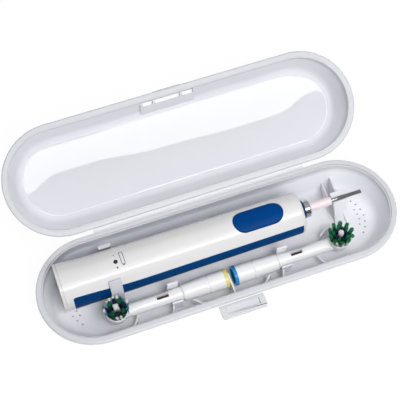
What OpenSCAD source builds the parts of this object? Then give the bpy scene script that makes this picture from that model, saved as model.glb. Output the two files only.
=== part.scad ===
// Hinged travel case for an electric toothbrush, with the handle and two brush heads lying in it.
// Millimetres. Origin at the centre of the flat underside of the base, +Z up, +X along the case
// towards the drive shaft, +Y towards the hinge. The lid stands open at its stop.

/* [Case] */
// overall length of the case
case_len = 240; // [200:1:280]
// overall width of the case
case_wid = 73.2; // [70:0.1:90]
// height of each half, underside to rim plane
half_h = 21.3; // [20:0.1:32]
// wall thickness of both halves
wall = 1.7; // [1.2:0.1:2.4]
// height of the band around each rim
rim_band = 3.7; // [2.5:0.1:6]
// step from the band in to the drafted wall
band_step = 1.0; // [0.4:0.1:2]
// slope of the walls from vertical, degrees
draft = 23.5; // [15:0.5:28]
// outer radius between wall and floor
corner_r = 8; // [5:0.5:12]
// width of the flat top of the rim
rim_flat = 3.4; // [2.5:0.1:4]
// width of the rim including its inner ledge
rim_w = 4.4; // [3.6:0.1:5]
// drop of the inner ledge below the rim plane
ledge_drop = 0.6; // [0.3:0.1:1]
// height of the tongue on the lid rim
tongue_h = 0.5; // [0.3:0.05:0.8]
// side clearance of the tongue
tongue_gap = 0.2; // [0.15:0.05:0.4]

/* [Hinge and latch] */
// angle between the halves when open, degrees
open_angle = 150; // [100:1:175]
// half length of the hinge strip
hinge_half = 72.5; // [40:0.5:80]
// distance of the hinge line behind the rim
hinge_off = 1.23; // [0.8:0.01:2]
// clearance between the rims when closed
rim_gap = 0.3; // [0.2:0.05:0.6]
// thickness of the hinge strips
web_t = 0.5; // [0.3:0.05:0.8]
// clearance along the fold line
fold_gap = 0.06; // [0.04:0.01:0.2]
// half width of the latch flap
latch_half = 14.6; // [10:0.1:25]
// reach of the latch flap from its fold line
latch_len = 9.2; // [8.2:0.1:14]
// thickness of the latch flap
latch_t = 2.4; // [2.2:0.1:3.2]
// distance of the latch fold line in front of the rim
latch_off = 1.3; // [1.1:0.05:2]
// depth of the pocket in the flap
pocket_d = 1.5; // [1.4:0.05:1.8]
// start of the pocket from the fold line
pocket_from = 2.4; // [2:0.1:2.6]
// end of the pocket from the fold line
pocket_to = 6.6; // [6:0.1:7]
// width of the side bars of the flap
latch_bar = 3.8; // [2:0.1:5]
// catch bead height beyond the rim
bead_out = 1.4; // [1.2:0.05:1.5]
// catch bead thickness
bead_t = 1.3; // [1:0.05:1.4]

/* [Handle] */
// radius of the handle at its foot
grip_r0 = 15.9; // [14:0.1:16]
// radius of the handle at its shoulder
grip_r1 = 14.6; // [13.8:0.1:15]
// wall thickness of the handle shell
shell_t = 2.2; // [1.8:0.1:2.6]
// space between the foot and the end of the case
foot_room = 15.4; // [12:0.1:20]
// space from the shoulder of the handle to the other end of the case
neck_room = 62; // [60:0.1:72]
// radius of the shoulder rounding
shoulder_r = 2.4; // [2:0.1:5]
// thickness of the foot cap
cap_t = 3; // [2:0.1:5]
// thickness of the side grips
pad_t = 0.9; // [0.6:0.1:1.2]
// half angle that a side grip covers, degrees
pad_half = 31; // [20:1:40]
// roll of the handle about its length, degrees
roll = 7; // [0:0.5:12]
// length of the power button
button_len = 33.6; // [24:0.1:40]
// width of the power button
button_wid = 14.8; // [10:0.1:16]
// travel of the power button
button_travel = 0.5; // [0.3:0.1:0.8]
// clearance around the power button
button_gap = 0.3; // [0.2:0.05:0.5]
// length of the neck beyond the chrome ring
neck_len = 15.2; // [12:0.1:18]
// radius of the neck
neck_r = 2.8; // [2.5:0.05:3.1]
// radius of the drive shaft
shaft_r = 1.25; // [1:0.05:1.6]
// length of the drive shaft beyond the neck
shaft_out = 21.4; // [16:0.1:24]
// radial running clearance of shafts and pivots
run_gap = 0.05; // [0.03:0.01:0.1]
// general clearance between pieces that lift apart
lift_gap = 0.3; // [0.2:0.05:0.5]

/* [Brush heads] */
// length from the ring end to the brush centre
head_len = 73.7; // [66:0.1:78]
// radius of the colour ring
ring_r = 6.6; // [6:0.1:7]
// width of the colour ring
ring_w = 2.2; // [1.6:0.1:4]
// inner radius of the open ring
ring_in = 5.2; // [4.6:0.1:5.6]
// radius of the sleeve behind the ring
sleeve_r = 6.2; // [5.6:0.1:6.5]
// radius of the neck at the clip
head_neck_r = 4.3; // [3.8:0.1:4.8]
// radius of the neck at the brush
head_tip_r = 3; // [2.6:0.1:3.4]
// radius of the round brush plate
plate_r = 7; // [6:0.1:7.5]
// height of the bristles above the plate
bristle_h = 10.6; // [7:0.1:11]
// swing of the brush plate each way, degrees
plate_swing = 22.5; // [15:0.5:30]
// thickness of the divider between the heads
divider_t = 1.2; // [0.8:0.1:2]
// extra room between the divider and the right brush head
right_gap = 2; // [0:0.1:4]

/* [Drive] */
// gear module of the drive
gear_mod = 0.5; // [0.4:0.05:0.6]
// teeth of the motor pinion
pinion_n = 10; // [9:1:12]
// teeth of the crank gear
crank_n = 20; // [18:1:22]
// throw of the crank pin
crank_throw = 1.6; // [1:0.1:2]
// diameter of the battery cell
cell_d = 14.2; // [12:0.1:14.4]

/* [Hidden] */
$fn = 64;
eps = 0.01;
end_r = case_wid / 2;
straight = case_len / 2 - end_r;
floor_z = wall;
rim_z = half_h;
// corner centre of the wall section, from the rim plane
cor_z = -half_h + corner_r;
wall_z = cor_z - corner_r * sin(draft);
wall_r = end_r - band_step - (-rim_band - wall_z) * tan(draft);
cor_c = wall_r - corner_r * cos(draft);
in_c = corner_r - wall;
in_z = cor_z - in_c * sin(draft);
in_r = cor_c + in_c * cos(draft);
lip_z = in_z + (end_r - rim_w - in_r) / tan(draft);
corner_n = 7;
// where the lid turns
hinge_y = end_r + hinge_off;
hinge_z = rim_z + rim_gap / 2;
tilt = 180 - open_angle;
// where the latch turns
latch_y = -end_r - latch_off;
latch_z = rim_z - 1;
fold_drop = 0.1;
latch_top = latch_off - 0.4;
latch_face = latch_top - latch_t;
pocket_half = latch_half - latch_bar;
bead_half = pocket_half - 1.3;
bead_z = -rim_band;
window_h = 2.4;
window_mid = 8.7;
window_bar = 1.4;
window_side = 7;
boss_half = window_mid + window_bar + window_side + 1.6;
boss_t = 0.9;
groove_w = 0.8;
groove_d = 0.3;
panel_in = 12.6;
vent_r = 0.7;
vent_out = 18.7;
vent_in = 15;
// handle placing
grip_y = 8.6;
grip_z = floor_z + grip_r0 + 0.6;
body_x0 = foot_room - case_len / 2;
body_x1 = case_len / 2 - neck_room;
body_len = body_x1 - body_x0;
collar_r = 6.3;
ring_chrome_r = 6.05;
collar_t = 2.2;
chrome_len = 5;
neck_x0 = body_x1 + collar_t + chrome_len;
neck_x1 = neck_x0 + neck_len;
shaft_x1 = neck_x1 + shaft_out;
core_r = neck_r - 0.5;
cap_x1 = body_x0 + cap_t;
bore_r = grip_r1 - shell_t;
button_x = body_x1 - 30;
button_rise = 0.5;
button_floor = 11.3;
socket_d = 13.5;
lamp_x = body_x0 + 38.1;
lamp_r = 1.1;
board_z = 6.3;
board_t = 1.2;
board_half = 7.4;
deck_t = 1.5;
deck_half = 10.6;
deck_x0 = body_x0 + socket_d + 2;
cell_x = cap_x1 + 16.4;
cell_z = board_z - deck_t - cell_d / 2;
switch_h = 2.2;
pinion_r = gear_mod * pinion_n / 2;
crank_r = gear_mod * crank_n / 2;
motor_y = -5;
crank_z = -6.2;
motor_z = crank_z + sqrt(pow(pinion_r + crank_r + 0.05, 2) - pow(motor_y, 2));
mesh_angle = atan2(crank_z - motor_z, -motor_y);
motor_r = board_z - motor_z;
frame_x = body_x1 - 53.4;
frame_t = 2;
plate_x = frame_x - 8.6;
frame_plate_t = 1.2;
motor_x1 = plate_x;
motor_x0 = motor_x1 - 27;
gear_x0 = frame_x - 7;
gear_w = 3;
link_x = frame_x + 8;
bearing_x = frame_x + 13.4;
bearing_t = 3;
stop_x = body_x1 - 12;
cell_len = motor_x0 - 3.7 - deck_t - cell_x;
socket_r = 3.1;
socket_t = 1.2;
// head placing
head_y = -16.8;
head_z = floor_z + 7.6;
head_x0 = divider_t / 2 + lift_gap;
sleeve_u = 13.5;
body_u = 30.3;
taper_u = body_u + 0.8;
head_bore_r = neck_r + 0.08;
cup_r = 6.2;
link_r = 1.9;
plate_z = 1.5;
plate_t = 2.7;
clip_u0 = taper_u + 0.5;
clip_u1 = clip_u0 + 7.2;
clip_r = head_neck_r + lift_gap + 0.05;
brush_rib_r = 16.4;
brush_well_r = 11.8;
rib_t = 1.2;
rib_x = 25.8;
rib_y = head_y - 6.8;
rib_h = half_h - 12;
arm_x = body_x0 + 34;
arm_w = 7.8;
arm_t = 1.7;
arm_top = 135;
tab_top = 22;
tab_t = 2.6;
cradle_x0 = neck_x1 + 1.6;
cradle_w = 9;
cradle_top = grip_z - rim_z - lift_gap;
cradle_t = 2;
cradle_back = end_r - 9.6;

function arc(cx, cy, r, a0, a1, n) =
  [for (i = [0:n]) let (a = a0 + (a1 - a0) * i / n) [cx + r * cos(a), cy + r * sin(a)]];

// where the ring end of the left (-1) or right (1) brush head lies
function head_at(s) = s > 0 ? head_x0 + right_gap : -head_x0;

function outer_pts() = concat([[0, -half_h]],
  arc(cor_c, cor_z, corner_r, -90, -draft, corner_n),
  [[end_r - band_step, -rim_band], [end_r, -rim_band], [end_r, 0], [0, 0]]);

function inner_pts() = concat([[0, -half_h + wall]],
  arc(cor_c, cor_z, in_c, -90, -draft, corner_n),
  [[end_r - rim_w, lip_z], [end_r - rim_w, -ledge_drop], [end_r - rim_flat, -ledge_drop],
   [end_r - rim_flat, 1], [0, 1]]);

// space inside a half, up to the ledge or to a height above the rim plane
function space_pts(top = -ledge_drop) = concat([[0, -half_h + wall]],
  arc(cor_c, cor_z, in_c, -90, -draft, corner_n),
  [[end_r - rim_w, lip_z], [end_r - rim_w, top], [0, top]]);

// half section of the lid, its tongue beside the flat of the rim
function lid_pts() = concat([[0, -half_h]],
  arc(cor_c, cor_z, corner_r, -90, -draft, corner_n),
  [[end_r - band_step, -rim_band], [end_r, -rim_band], [end_r, 0],
   [end_r - rim_flat - tongue_gap, 0], [end_r - rim_flat - tongue_gap, tongue_h], [0, tongue_h]]);

function ring_pts(a, b, z0, z1) = [[a, z0], [b, z0], [b, z1], [a, z1]];

// round-ended body from a half section, rim plane at zero
module pan(pts) {
  for (a = [0, 180])
    rotate([0, 0, a])
      translate([straight, 0, 0])
        rotate([0, 0, -90])
          rotate_extrude(angle = 180, $fn = 96)
            polygon(pts);
  translate([-straight, 0, 0])
    rotate([90, 0, 90])
      linear_extrude(2 * straight) {
        polygon(pts);
        mirror([1, 0])
          polygon(pts);
      }
}

module vents() {
  for (s = [-1, 1])
    for (a = [37, 25, 11, -4, -18, -31, -44])
      translate([s * (straight + vent_out * cos(a)), vent_out * sin(a), -half_h - 1])
        cylinder(h = wall + 2, r = vent_r, $fn = 16);
  for (s = [-1, 1])
    for (a = [17, 3, -11, -26])
      translate([s * (straight + vent_in * cos(a)), vent_in * sin(a), -half_h - 1])
        cylinder(h = wall + 2, r = vent_r, $fn = 16);
}

module base_tray() {
  color([0.86, 0.87, 0.91])
    translate([0, 0, rim_z])
      difference() {
        pan(outer_pts());
        pan(inner_pts());
        vents();
      }
  color([0.86, 0.87, 0.91])
    translate([-latch_half, latch_y + fold_gap, latch_z - fold_drop - web_t])
      cube([2 * latch_half, latch_off - fold_gap, web_t]);
}

// curved rib on the floor, following a circle about a brush centre
module brush_rib(s, r, a0, a1, h) {
  translate([head_at(s) + s * head_len, head_y, -half_h])
    rotate([0, 0, a0])
      rotate_extrude(angle = a1 - a0, $fn = 96)
        polygon(ring_pts(r, r + rib_t, 0, wall + h));
}

module tray_ribs() {
  color([0.85, 0.86, 0.90])
    translate([0, 0, rim_z])
      intersection() {
        pan(space_pts());
        union() {
          translate([-divider_t / 2, -end_r, -half_h])
            cube([divider_t, end_r - 8.4, half_h - 9]);
          brush_rib(-1, brush_rib_r, -42, -14, 5.5);
          brush_rib(1, brush_rib_r, 194, 222, 5.5);
          brush_rib(1, brush_well_r, 92, 140, 6.5);
          for (s = [-1, 1])
            translate([s * rib_x, rib_y, -half_h])
              rotate([0, 0, s > 0 ? -135 : -45])
                translate([0, -rib_t / 2, 0])
                  cube([end_r + head_y, rib_t, rib_h]);
          for (x = [head_at(-1) - clip_u1, head_at(1) + clip_u0])
            translate([x + rib_t / 2, head_y - clip_r - 2, -half_h])
              rotate([0, 0, -110])
                translate([0, -rib_t / 2, 0])
                  cube([end_r + head_y, rib_t, rib_h]);
        }
      }
}

module case_clip(x0, x1) {
  translate([0, head_y, head_z])
    difference() {
      translate([x0, -clip_r - 1.4, floor_z - head_z])
        cube([x1 - x0, 2 * clip_r + 3, head_z - floor_z + 7.4]);
      translate([x0 - 1, 0, 0])
        rotate([0, 90, 0])
          cylinder(h = x1 - x0 + 2, r = clip_r);
      translate([x0 - 1, -clip_r, 0])
        cube([x1 - x0 + 2, 2 * clip_r, 20]);
      translate([x0 - 1, -clip_r - 5, 1.2])
        cube([x1 - x0 + 2, 6, 20]);
    }
}

module head_clips() {
  color([0.87, 0.88, 0.92]) {
    case_clip(head_at(1) + clip_u0, head_at(1) + clip_u1);
    case_clip(head_at(-1) - clip_u1, head_at(-1) - clip_u0);
  }
}

grip_rx = grip_r0 - (grip_r0 - grip_r1) * (arm_x - arm_w / 2 - body_x0) / body_len;
arm_r = grip_rx + lift_gap;

// arm that hugs the front of the handle and springs out when the handle is lifted
module front_arm() {
  color([0.88, 0.89, 0.93])
    translate([arm_x - arm_w / 2, 0, 0])
      rotate([90, 0, 90])
        linear_extrude(arm_w)
          polygon(concat(arc(grip_y, grip_z, arm_r + arm_t, arm_top, 180, 12),
            [[grip_y - arm_r - arm_t, floor_z], [grip_y - arm_r, floor_z]],
            arc(grip_y, grip_z, arm_r, 180, arm_top, 12)));
}

module back_tab() {
  tab_y = grip_y + arm_r * cos(14);
  tab_x = arm_x - arm_w / 2 + 1.4;
  color([0.88, 0.89, 0.93])
    intersection() {
      translate([0, 0, rim_z])
        pan(space_pts(arm_r));
      difference() {
        translate([tab_x, tab_y, 0])
          cube([arm_w, tab_t, grip_z + arm_r * sin(tab_top)]);
        translate([tab_x - 1, grip_y, grip_z])
          rotate([0, 90, 0])
            cylinder(h = arm_w + 2, r = arm_r, $fn = 96);
      }
    }
}

// saddle that carries the neck end, tied back to the wall by two webs
module neck_cradle() {
  seat_r = shaft_r + lift_gap + 0.1;
  web_t2 = 1.2;
  color([0.87, 0.88, 0.92])
    translate([0, 0, rim_z])
      intersection() {
        pan(space_pts());
        difference() {
          union() {
            translate([cradle_x0, 0, 0])
              rotate([90, 0, 90])
                linear_extrude(cradle_w)
                  polygon([[grip_y - 10.2, -half_h], [grip_y - 8.2, -half_h],
                    [grip_y - 0.4, cradle_top - cradle_t], [grip_y + 4.4, cradle_top - cradle_t],
                    [grip_y + 4.4, -half_h], [grip_y + 6.4, -half_h],
                    [grip_y + 6.4, cradle_top], [grip_y - 2, cradle_top]]);
            for (x = [cradle_x0 - 2.4, cradle_x0 + 5.6])
              translate([x, 0, 0])
                rotate([90, 0, 90])
                  linear_extrude(web_t2)
                    polygon([[grip_y + 6.4, -half_h], [grip_y + 6.4, cradle_top - 0.2],
                      [cradle_back, cradle_top - 6.1], [cradle_back, -half_h]]);
            translate([cradle_x0 - 2.4, grip_y + 3.4, -half_h])
              cube([2.4 + web_t2, 3.001, half_h + cradle_top - 0.2]);
          }
          translate([cradle_x0 - 5, grip_y, grip_z - rim_z])
            rotate([0, 90, 0])
              cylinder(h = cradle_w + 10, r = seat_r, $fn = 32);
          translate([cradle_x0 - 5, grip_y - seat_r, grip_z - rim_z])
            cube([cradle_w + 10, 2 * seat_r, 20]);
        }
      }
}

module base_hinge_strip() {
  color([0.84, 0.85, 0.90])
    translate([-hinge_half, end_r, rim_z - web_t])
      cube([2 * hinge_half, hinge_off - fold_gap, web_t]);
}

module lid_hinge_strip() {
  color([0.84, 0.85, 0.90])
    translate([0, hinge_y, hinge_z])
      rotate([tilt, 0, 0])
        translate([-hinge_half, fold_gap, -rim_gap / 2 - web_t])
          cube([2 * hinge_half, hinge_off - fold_gap, web_t]);
}

module flap_outline() {
  rr = 1.8;
  translate([-latch_half, -latch_len + rr])
    square([2 * latch_half, latch_len - rr - fold_gap]);
  translate([-latch_half + rr, -latch_len])
    square([2 * (latch_half - rr), latch_len - fold_gap]);
  for (s = [-1, 1])
    translate([s * (latch_half - rr), -latch_len + rr])
      circle(r = rr, $fn = 32);
}

module latch_flap() {
  color([0.86, 0.87, 0.91]) {
    translate([0, latch_y, latch_z])
      difference() {
        translate([0, 0, latch_face])
          linear_extrude(latch_t)
            flap_outline();
        translate([-pocket_half, -pocket_to, latch_top - pocket_d])
          cube([2 * pocket_half, pocket_to - pocket_from, pocket_d + 1]);
        translate([-latch_half - 1, -latch_off, -fold_drop - web_t - 5])
          cube([2 * latch_half + 2, latch_off + 1, 5]);
        translate([-latch_half - 1, -latch_off, -fold_drop])
          cube([2 * latch_half + 2, latch_off + 1, 5]);
      }
  }
}

module lid_local() {
  difference() {
    union() {
      difference() {
        pan(lid_pts());
        pan(space_pts(tongue_h + 1));
      }
      intersection() {
        pan(outer_pts());
        translate([-boss_half, in_r, in_z])
          rotate([-draft, 0, 0])
            translate([0, -boss_t, -6])
              cube([2 * boss_half, 12, 30]);
      }
      translate([-bead_half, end_r - eps, bead_z])
        cube([2 * bead_half, bead_out + eps, bead_t]);
    }
    for (x = [-window_mid, -window_mid - window_bar - window_side, window_mid + window_bar])
      translate([x, end_r - rim_w - window_h, -half_h])
        cube([x == -window_mid ? 2 * window_mid : window_side, window_h - 0.1, half_h + lip_z + 1.5]);
    pan(ring_pts(end_r - panel_in - groove_w, end_r - panel_in,
      -half_h + wall - groove_d, -half_h + wall + 0.4));
  }
}

module lid_shell() {
  color([0.86, 0.87, 0.91])
    translate([0, hinge_y, hinge_z])
      rotate([tilt, 0, 0])
        translate([0, hinge_off + end_r, -rim_gap / 2])
          lid_local();
}

// puts a piece drawn along X about the handle's own axis into the case
module at_grip() {
  translate([0, grip_y, grip_z])
    rotate([roll, 0, 0])
      children();
}

module turned(pts, n = 96) {
  rotate([0, 90, 0])
    rotate_extrude($fn = n)
      polygon(pts);
}

function grip_rad(x) = grip_r0 + (grip_r1 - grip_r0) * (x - body_x0) / (body_len - shoulder_r);

module pad_solid(side, over = 0) {
  x0 = body_x0 + 7.4;
  x1 = body_x1 - shoulder_r;
  rotate([0, 90, 0])
    rotate([0, 0, (side < 0 ? 270 : 90) - pad_half])
      rotate_extrude(angle = 2 * pad_half, $fn = 96)
        polygon([[grip_rad(x0) - pad_t, x0], [grip_rad(x0) + over, x0],
          [grip_rad(x1) + over, x1], [grip_rad(x1) - pad_t, x1]]);
}

module pill(l, w) {
  translate([-(l - w) / 2, -w / 2])
    square([l - w, w]);
  for (s = [-1, 1])
    translate([s * (l - w) / 2, 0])
      circle(d = w, $fn = 64);
}

module handle_shell() {
  color([0.93, 0.925, 0.92])
    at_grip()
      difference() {
        turned(concat([[bore_r, cap_x1], [grip_rad(cap_x1), cap_x1],
            [grip_rad(body_x1 - shoulder_r), body_x1 - shoulder_r]],
          arc(grip_r1 - shoulder_r, body_x1 - shoulder_r, shoulder_r, 10, 70, 6),
          [[grip_r1 - shoulder_r, body_x1], [neck_r + 1.2, body_x1], [neck_r + 1.2, body_x1 - 3],
           [bore_r - 3, body_x1 - 3], [bore_r, body_x1 - 6]]));
        pad_solid(-1, 1);
        pad_solid(1, 1);
        translate([button_x, 0, 5])
          linear_extrude(20)
            pill(button_len + 2 * button_gap, button_wid + 2 * button_gap);
        translate([lamp_x, 0, 5])
          cylinder(h = 20, r = lamp_r, $fn = 32);
      }
}

module foot_cap() {
  color([0.92, 0.915, 0.90])
    at_grip()
      turned([[socket_r, body_x0], [grip_r0 - 1, body_x0], [grip_r0 - 0.3, body_x0 + 0.3],
        [grip_r0, body_x0 + 1], [grip_rad(cap_x1) - 0.25, cap_x1 - 0.5], [grip_rad(cap_x1) - 0.25, cap_x1],
        [bore_r, cap_x1], [bore_r, cap_x1 + 2.5], [bore_r - 1.4, cap_x1 + 2.5], [bore_r - 1.4, cap_x1],
        [socket_r + socket_t, cap_x1], [socket_r + socket_t, body_x0 + socket_d + socket_t],
        [0, body_x0 + socket_d + socket_t], [0, body_x0 + socket_d], [socket_r, body_x0 + socket_d]]);
}

module front_grip() {
  color([0.03, 0.22, 0.53])
    at_grip()
      pad_solid(-1);
}

module back_grip() {
  color([0.03, 0.22, 0.53])
    at_grip()
      pad_solid(1);
}

module power_button() {
  color([0.03, 0.26, 0.56])
    at_grip()
      intersection() {
        translate([button_x, 0, button_floor])
          linear_extrude(12)
            pill(button_len, button_wid);
        turned([[0, button_x - button_len],
          [grip_rad(button_x - button_len) + button_rise, button_x - button_len],
          [grip_rad(button_x + button_len) + button_rise, button_x + button_len],
          [0, button_x + button_len]]);
      }
}

module collar() {
  color([0.03, 0.22, 0.53])
    at_grip()
      turned([[core_r, body_x1], [collar_r, body_x1], [collar_r, body_x1 + collar_t - 0.2],
        [collar_r - 0.2, body_x1 + collar_t], [core_r, body_x1 + collar_t]]);
}

module chrome_ring() {
  color([0.8, 0.8, 0.82])
    at_grip()
      turned([[core_r, body_x1 + collar_t], [ring_chrome_r, body_x1 + collar_t],
        [ring_chrome_r, neck_x0 - 0.9], [ring_chrome_r - 0.9, neck_x0], [core_r, neck_x0]]);
}

module neck_sleeve() {
  color([0.94, 0.89, 0.9])
    at_grip()
      turned([[shaft_r + run_gap, body_x1 - 5.5], [neck_r + 2.2, body_x1 - 5.5], [neck_r + 2.2, body_x1 - 3],
        [neck_r + 1.2, body_x1 - 3], [neck_r + 1.2, body_x1], [core_r, body_x1], [core_r, neck_x0],
        [neck_r, neck_x0], [neck_r, neck_x1 - 0.4],
        [neck_r - 0.4, neck_x1], [shaft_r + 0.5, neck_x1], [shaft_r + 0.5, neck_x1 - 1.2],
        [shaft_r + run_gap, neck_x1 - 1.2]], 48);
}

module shaft_seal() {
  color([0.2, 0.2, 0.22])
    at_grip()
      turned(ring_pts(shaft_r + run_gap, shaft_r + 0.5, neck_x1 - 1.2, neck_x1 - 0.1), 48);
}

module charge_lamp() {
  color([0.25, 0.28, 0.26])
    at_grip()
      translate([lamp_x, 0, board_z + board_t])
        cylinder(h = grip_rad(lamp_x) - board_z - board_t + 0.05, r = lamp_r, $fn = 32);
}

module deck() {
  color([0.75, 0.76, 0.78])
    at_grip() {
      translate([deck_x0, -deck_half, board_z - deck_t])
        cube([cell_x + cell_len + deck_t - deck_x0, 2 * deck_half, deck_t]);
      translate([cell_x + cell_len, -9, -8])
        cube([deck_t, 18, 8 + board_z - deck_t]);
    }
}

module battery_cell() {
  color([0.2, 0.45, 0.35])
    at_grip()
      translate([0, 0, cell_z])
        turned([[0, cell_x - 0.0], [cell_d / 2, cell_x], [cell_d / 2, cell_x + cell_len - 1.2],
          [2.6, cell_x + cell_len - 1.2], [2.6, cell_x + cell_len], [0, cell_x + cell_len]], 48);
}

module circuit_board() {
  color([0.08, 0.36, 0.2])
    at_grip()
      translate([cap_x1 + 14, -board_half, board_z])
        cube([stop_x - cap_x1 - 12, 2 * board_half, board_t]);
}

module button_switch() {
  color([0.3, 0.3, 0.32])
    at_grip()
      translate([button_x, 0, board_z + board_t]) {
        translate([-3, -3, 0])
          cube([6, 6, switch_h]);
        cylinder(h = button_floor - button_travel - 0.1 - board_z - board_t, r = 1.6, $fn = 32);
      }
}

module charge_coil() {
  color([0.72, 0.42, 0.2])
    at_grip()
      turned(ring_pts(socket_r + socket_t, 8.4, cap_x1 + 0.5, body_x0 + socket_d), 48);
}

module motor() {
  color([0.7, 0.71, 0.73])
    at_grip()
      translate([0, motor_y, motor_z])
        difference() {
          turned([[0, motor_x0 - 1.5], [2.5, motor_x0 - 1.5], [2.5, motor_x0], [motor_r, motor_x0],
            [motor_r, motor_x1 - 1], [3, motor_x1 - 1], [3, motor_x1], [0, motor_x1]], 48);
          translate([motor_x1 - 6, 0, 0])
            rotate([0, 90, 0])
              cylinder(h = 10, r = 1 + run_gap, $fn = 32);
        }
}

// toothed outline with straight flanks
module gear_outline(n, phase) {
  m = gear_mod;
  pr = m * n / 2;
  ro = pr + 0.8 * m;
  ri = pr - 1.1 * m;
  pitch = 360 / n;
  polygon([for (i = [0:n - 1]) for (k = [0:3])
    let (a = phase + i * pitch + [-0.29, -0.13, 0.13, 0.29][k] * pitch, r = (k == 1 || k == 2) ? ro : ri)
      [r * cos(a), r * sin(a)]]);
}

module motor_pinion() {
  color([0.8, 0.7, 0.4])
    at_grip()
      translate([0, motor_y, motor_z]) {
        translate([motor_x1 - 5.8, 0, 0])
          rotate([0, 90, 0])
            cylinder(h = gear_x0 - motor_x1 + 5.8, r = 1, $fn = 32);
        translate([gear_x0, 0, 0])
          rotate([90, 0, 90])
            linear_extrude(gear_w)
              gear_outline(pinion_n, mesh_angle);
      }
}

module crank_gear() {
  color([0.9, 0.9, 0.86])
    at_grip()
      translate([0, 0, crank_z]) {
        translate([gear_x0, 0, 0])
          rotate([90, 0, 90])
            linear_extrude(gear_w)
              gear_outline(crank_n, mesh_angle + 180 + 180 / crank_n);
        translate([plate_x + 0.3, 0, 0])
          rotate([0, 90, 0])
            cylinder(h = frame_x + frame_t + 0.1 - plate_x, r = 1, $fn = 32);
        translate([frame_x + frame_t + 0.4, 0, 0])
          rotate([0, 90, 0])
            cylinder(h = 2, r = crank_throw + 1.4, $fn = 48);
        translate([frame_x + frame_t + 2.4, 0, -crank_throw])
          rotate([0, 90, 0])
            cylinder(h = link_x - frame_x - frame_t - 2.8, r = 0.7, $fn = 24);
      }
}

module gear_frame() {
  color([0.78, 0.78, 0.8])
    at_grip()
      difference() {
        intersection() {
          union() {
            translate([plate_x, 0, 0])
              rotate([0, 90, 0])
                cylinder(h = frame_plate_t, r = bore_r - 0.02);
            translate([frame_x, 0, 0])
              rotate([0, 90, 0])
                cylinder(h = frame_t, r = bore_r - 0.02);
            translate([plate_x, 8, -4])
              cube([frame_x - plate_x + 1, 2, 8]);
          }
          translate([plate_x - 1, -20, -20])
            cube([20, 40, 20 + board_z]);
        }
        translate([plate_x - 1, 0, crank_z])
          rotate([0, 90, 0])
            cylinder(h = 20, r = 1 + run_gap, $fn = 32);
        translate([plate_x - 1, motor_y, motor_z])
          rotate([0, 90, 0])
            cylinder(h = frame_plate_t + 2, r = 1 + run_gap + 0.3, $fn = 32);
      }
}

module shaft_bearing() {
  color([0.78, 0.78, 0.8])
    at_grip() {
      difference() {
        for (x = [bearing_x, stop_x])
          intersection() {
            translate([x, 0, 0])
              rotate([0, 90, 0])
                cylinder(h = bearing_t, r = bore_r - 0.02);
            translate([x - 1, -20, -20])
              cube([bearing_t + 2, 40, 20 + board_z]);
          }
        translate([bearing_x - 1, 0, 0])
          rotate([0, 90, 0])
            cylinder(h = stop_x, r = shaft_r + run_gap, $fn = 32);
      }
    }
}

module drive_shaft() {
  color([0.75, 0.75, 0.77])
    at_grip() {
      difference() {
        translate([link_x, 0, 0])
          rotate([0, 90, 0])
            cylinder(h = shaft_x1 - link_x, r = shaft_r, $fn = 48);
        for (s = [-1, 1])
          translate([neck_x1 + 6.4, -5, s > 0 ? shaft_r * 0.62 : -shaft_r * 0.62 - 5])
            cube([30, 10, 5]);
      }
      translate([link_x, 0, 0])
        difference() {
          rotate([90, 0, 90])
            linear_extrude(2.4) {
              circle(r = 3, $fn = 48);
              translate([-2.4, -8.4])
                square([4.8, 8.4]);
            }
          translate([-1, 0, 0])
            rotate([0, 90, 0])
              cylinder(h = 5, r = shaft_r - 0.3, $fn = 48);
          translate([-1, -0.8, -9])
            cube([5, 1.6, 4.6]);
        }
    }
}

// brush head drawn from its ring end along +X, brush up
module head_body() {
  difference() {
    union() {
      turned([[0, ring_w], [ring_r - 0.5, ring_w], [sleeve_r, ring_w + 0.01], [sleeve_r, sleeve_u - 0.3],
        [sleeve_r - 0.25, sleeve_u - 0.15], [sleeve_r - 0.25, sleeve_u + 0.15],
        [sleeve_r - 0.05, sleeve_u + 0.3], [sleeve_r - 0.7, body_u], [head_neck_r, taper_u],
        [head_tip_r, head_len - 11], [head_tip_r, head_len], [0, head_len]], 64);
      translate([head_len, 0, -3.2])
        cylinder(h = 3.2 + plate_z - lift_gap, r = cup_r);
    }
    translate([-1, 0, 0])
      rotate([0, 90, 0])
        cylinder(h = 1 + neck_len + 4, r = head_bore_r, $fn = 48);
    translate([neck_len + 2, 0, 0])
      rotate([0, 90, 0])
        cylinder(h = head_len - neck_len - 10, r = link_r, $fn = 32);
    translate([44, -1.1, 0])
      cube([5.4, 2.2, 8]);
    translate([head_len, 0, -2])
      cylinder(h = 10, r = 1.2 + run_gap, $fn = 32);
    translate([head_len, 0, plate_z - lift_gap])
      cylinder(h = 10, r = plate_r + lift_gap);
  }
}

module head_ring() {
  turned([[ring_in, 0], [ring_r - 0.3, 0], [ring_r, 0.3], [ring_r, ring_w], [ring_in, ring_w]], 64);
}

module head_link() {
  translate([neck_len + 5, 0, 0])
    rotate([0, 90, 0])
      cylinder(h = head_len - neck_len - 13, r = link_r, $fn = 32);
}

module head_plate() {
  translate([head_len, 0, plate_z])
    cylinder(h = plate_t, r = plate_r);
  translate([head_len, 0, -1.9])
    cylinder(h = 1.9 + plate_z, r = 1.2, $fn = 32);
}

module head_bristles() {
  translate([head_len, 0, plate_z + plate_t])
    linear_extrude(bristle_h) {
      for (a = [0:36:324])
        rotate(a)
          translate([plate_r - 1.45, 0])
            rotate(22.5)
              circle(r = 1.3, $fn = 8);
      for (a = [18:45:333])
        rotate(a)
          translate([plate_r - 4, 0])
            rotate(22.5)
              circle(r = 1, $fn = 8);
      rotate(22.5)
        circle(r = 1.6, $fn = 8);
    }
}

module at_head(s) {
  translate([head_at(s), head_y, head_z])
    rotate([0, 0, s > 0 ? 0 : 180])
      children();
}

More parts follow.
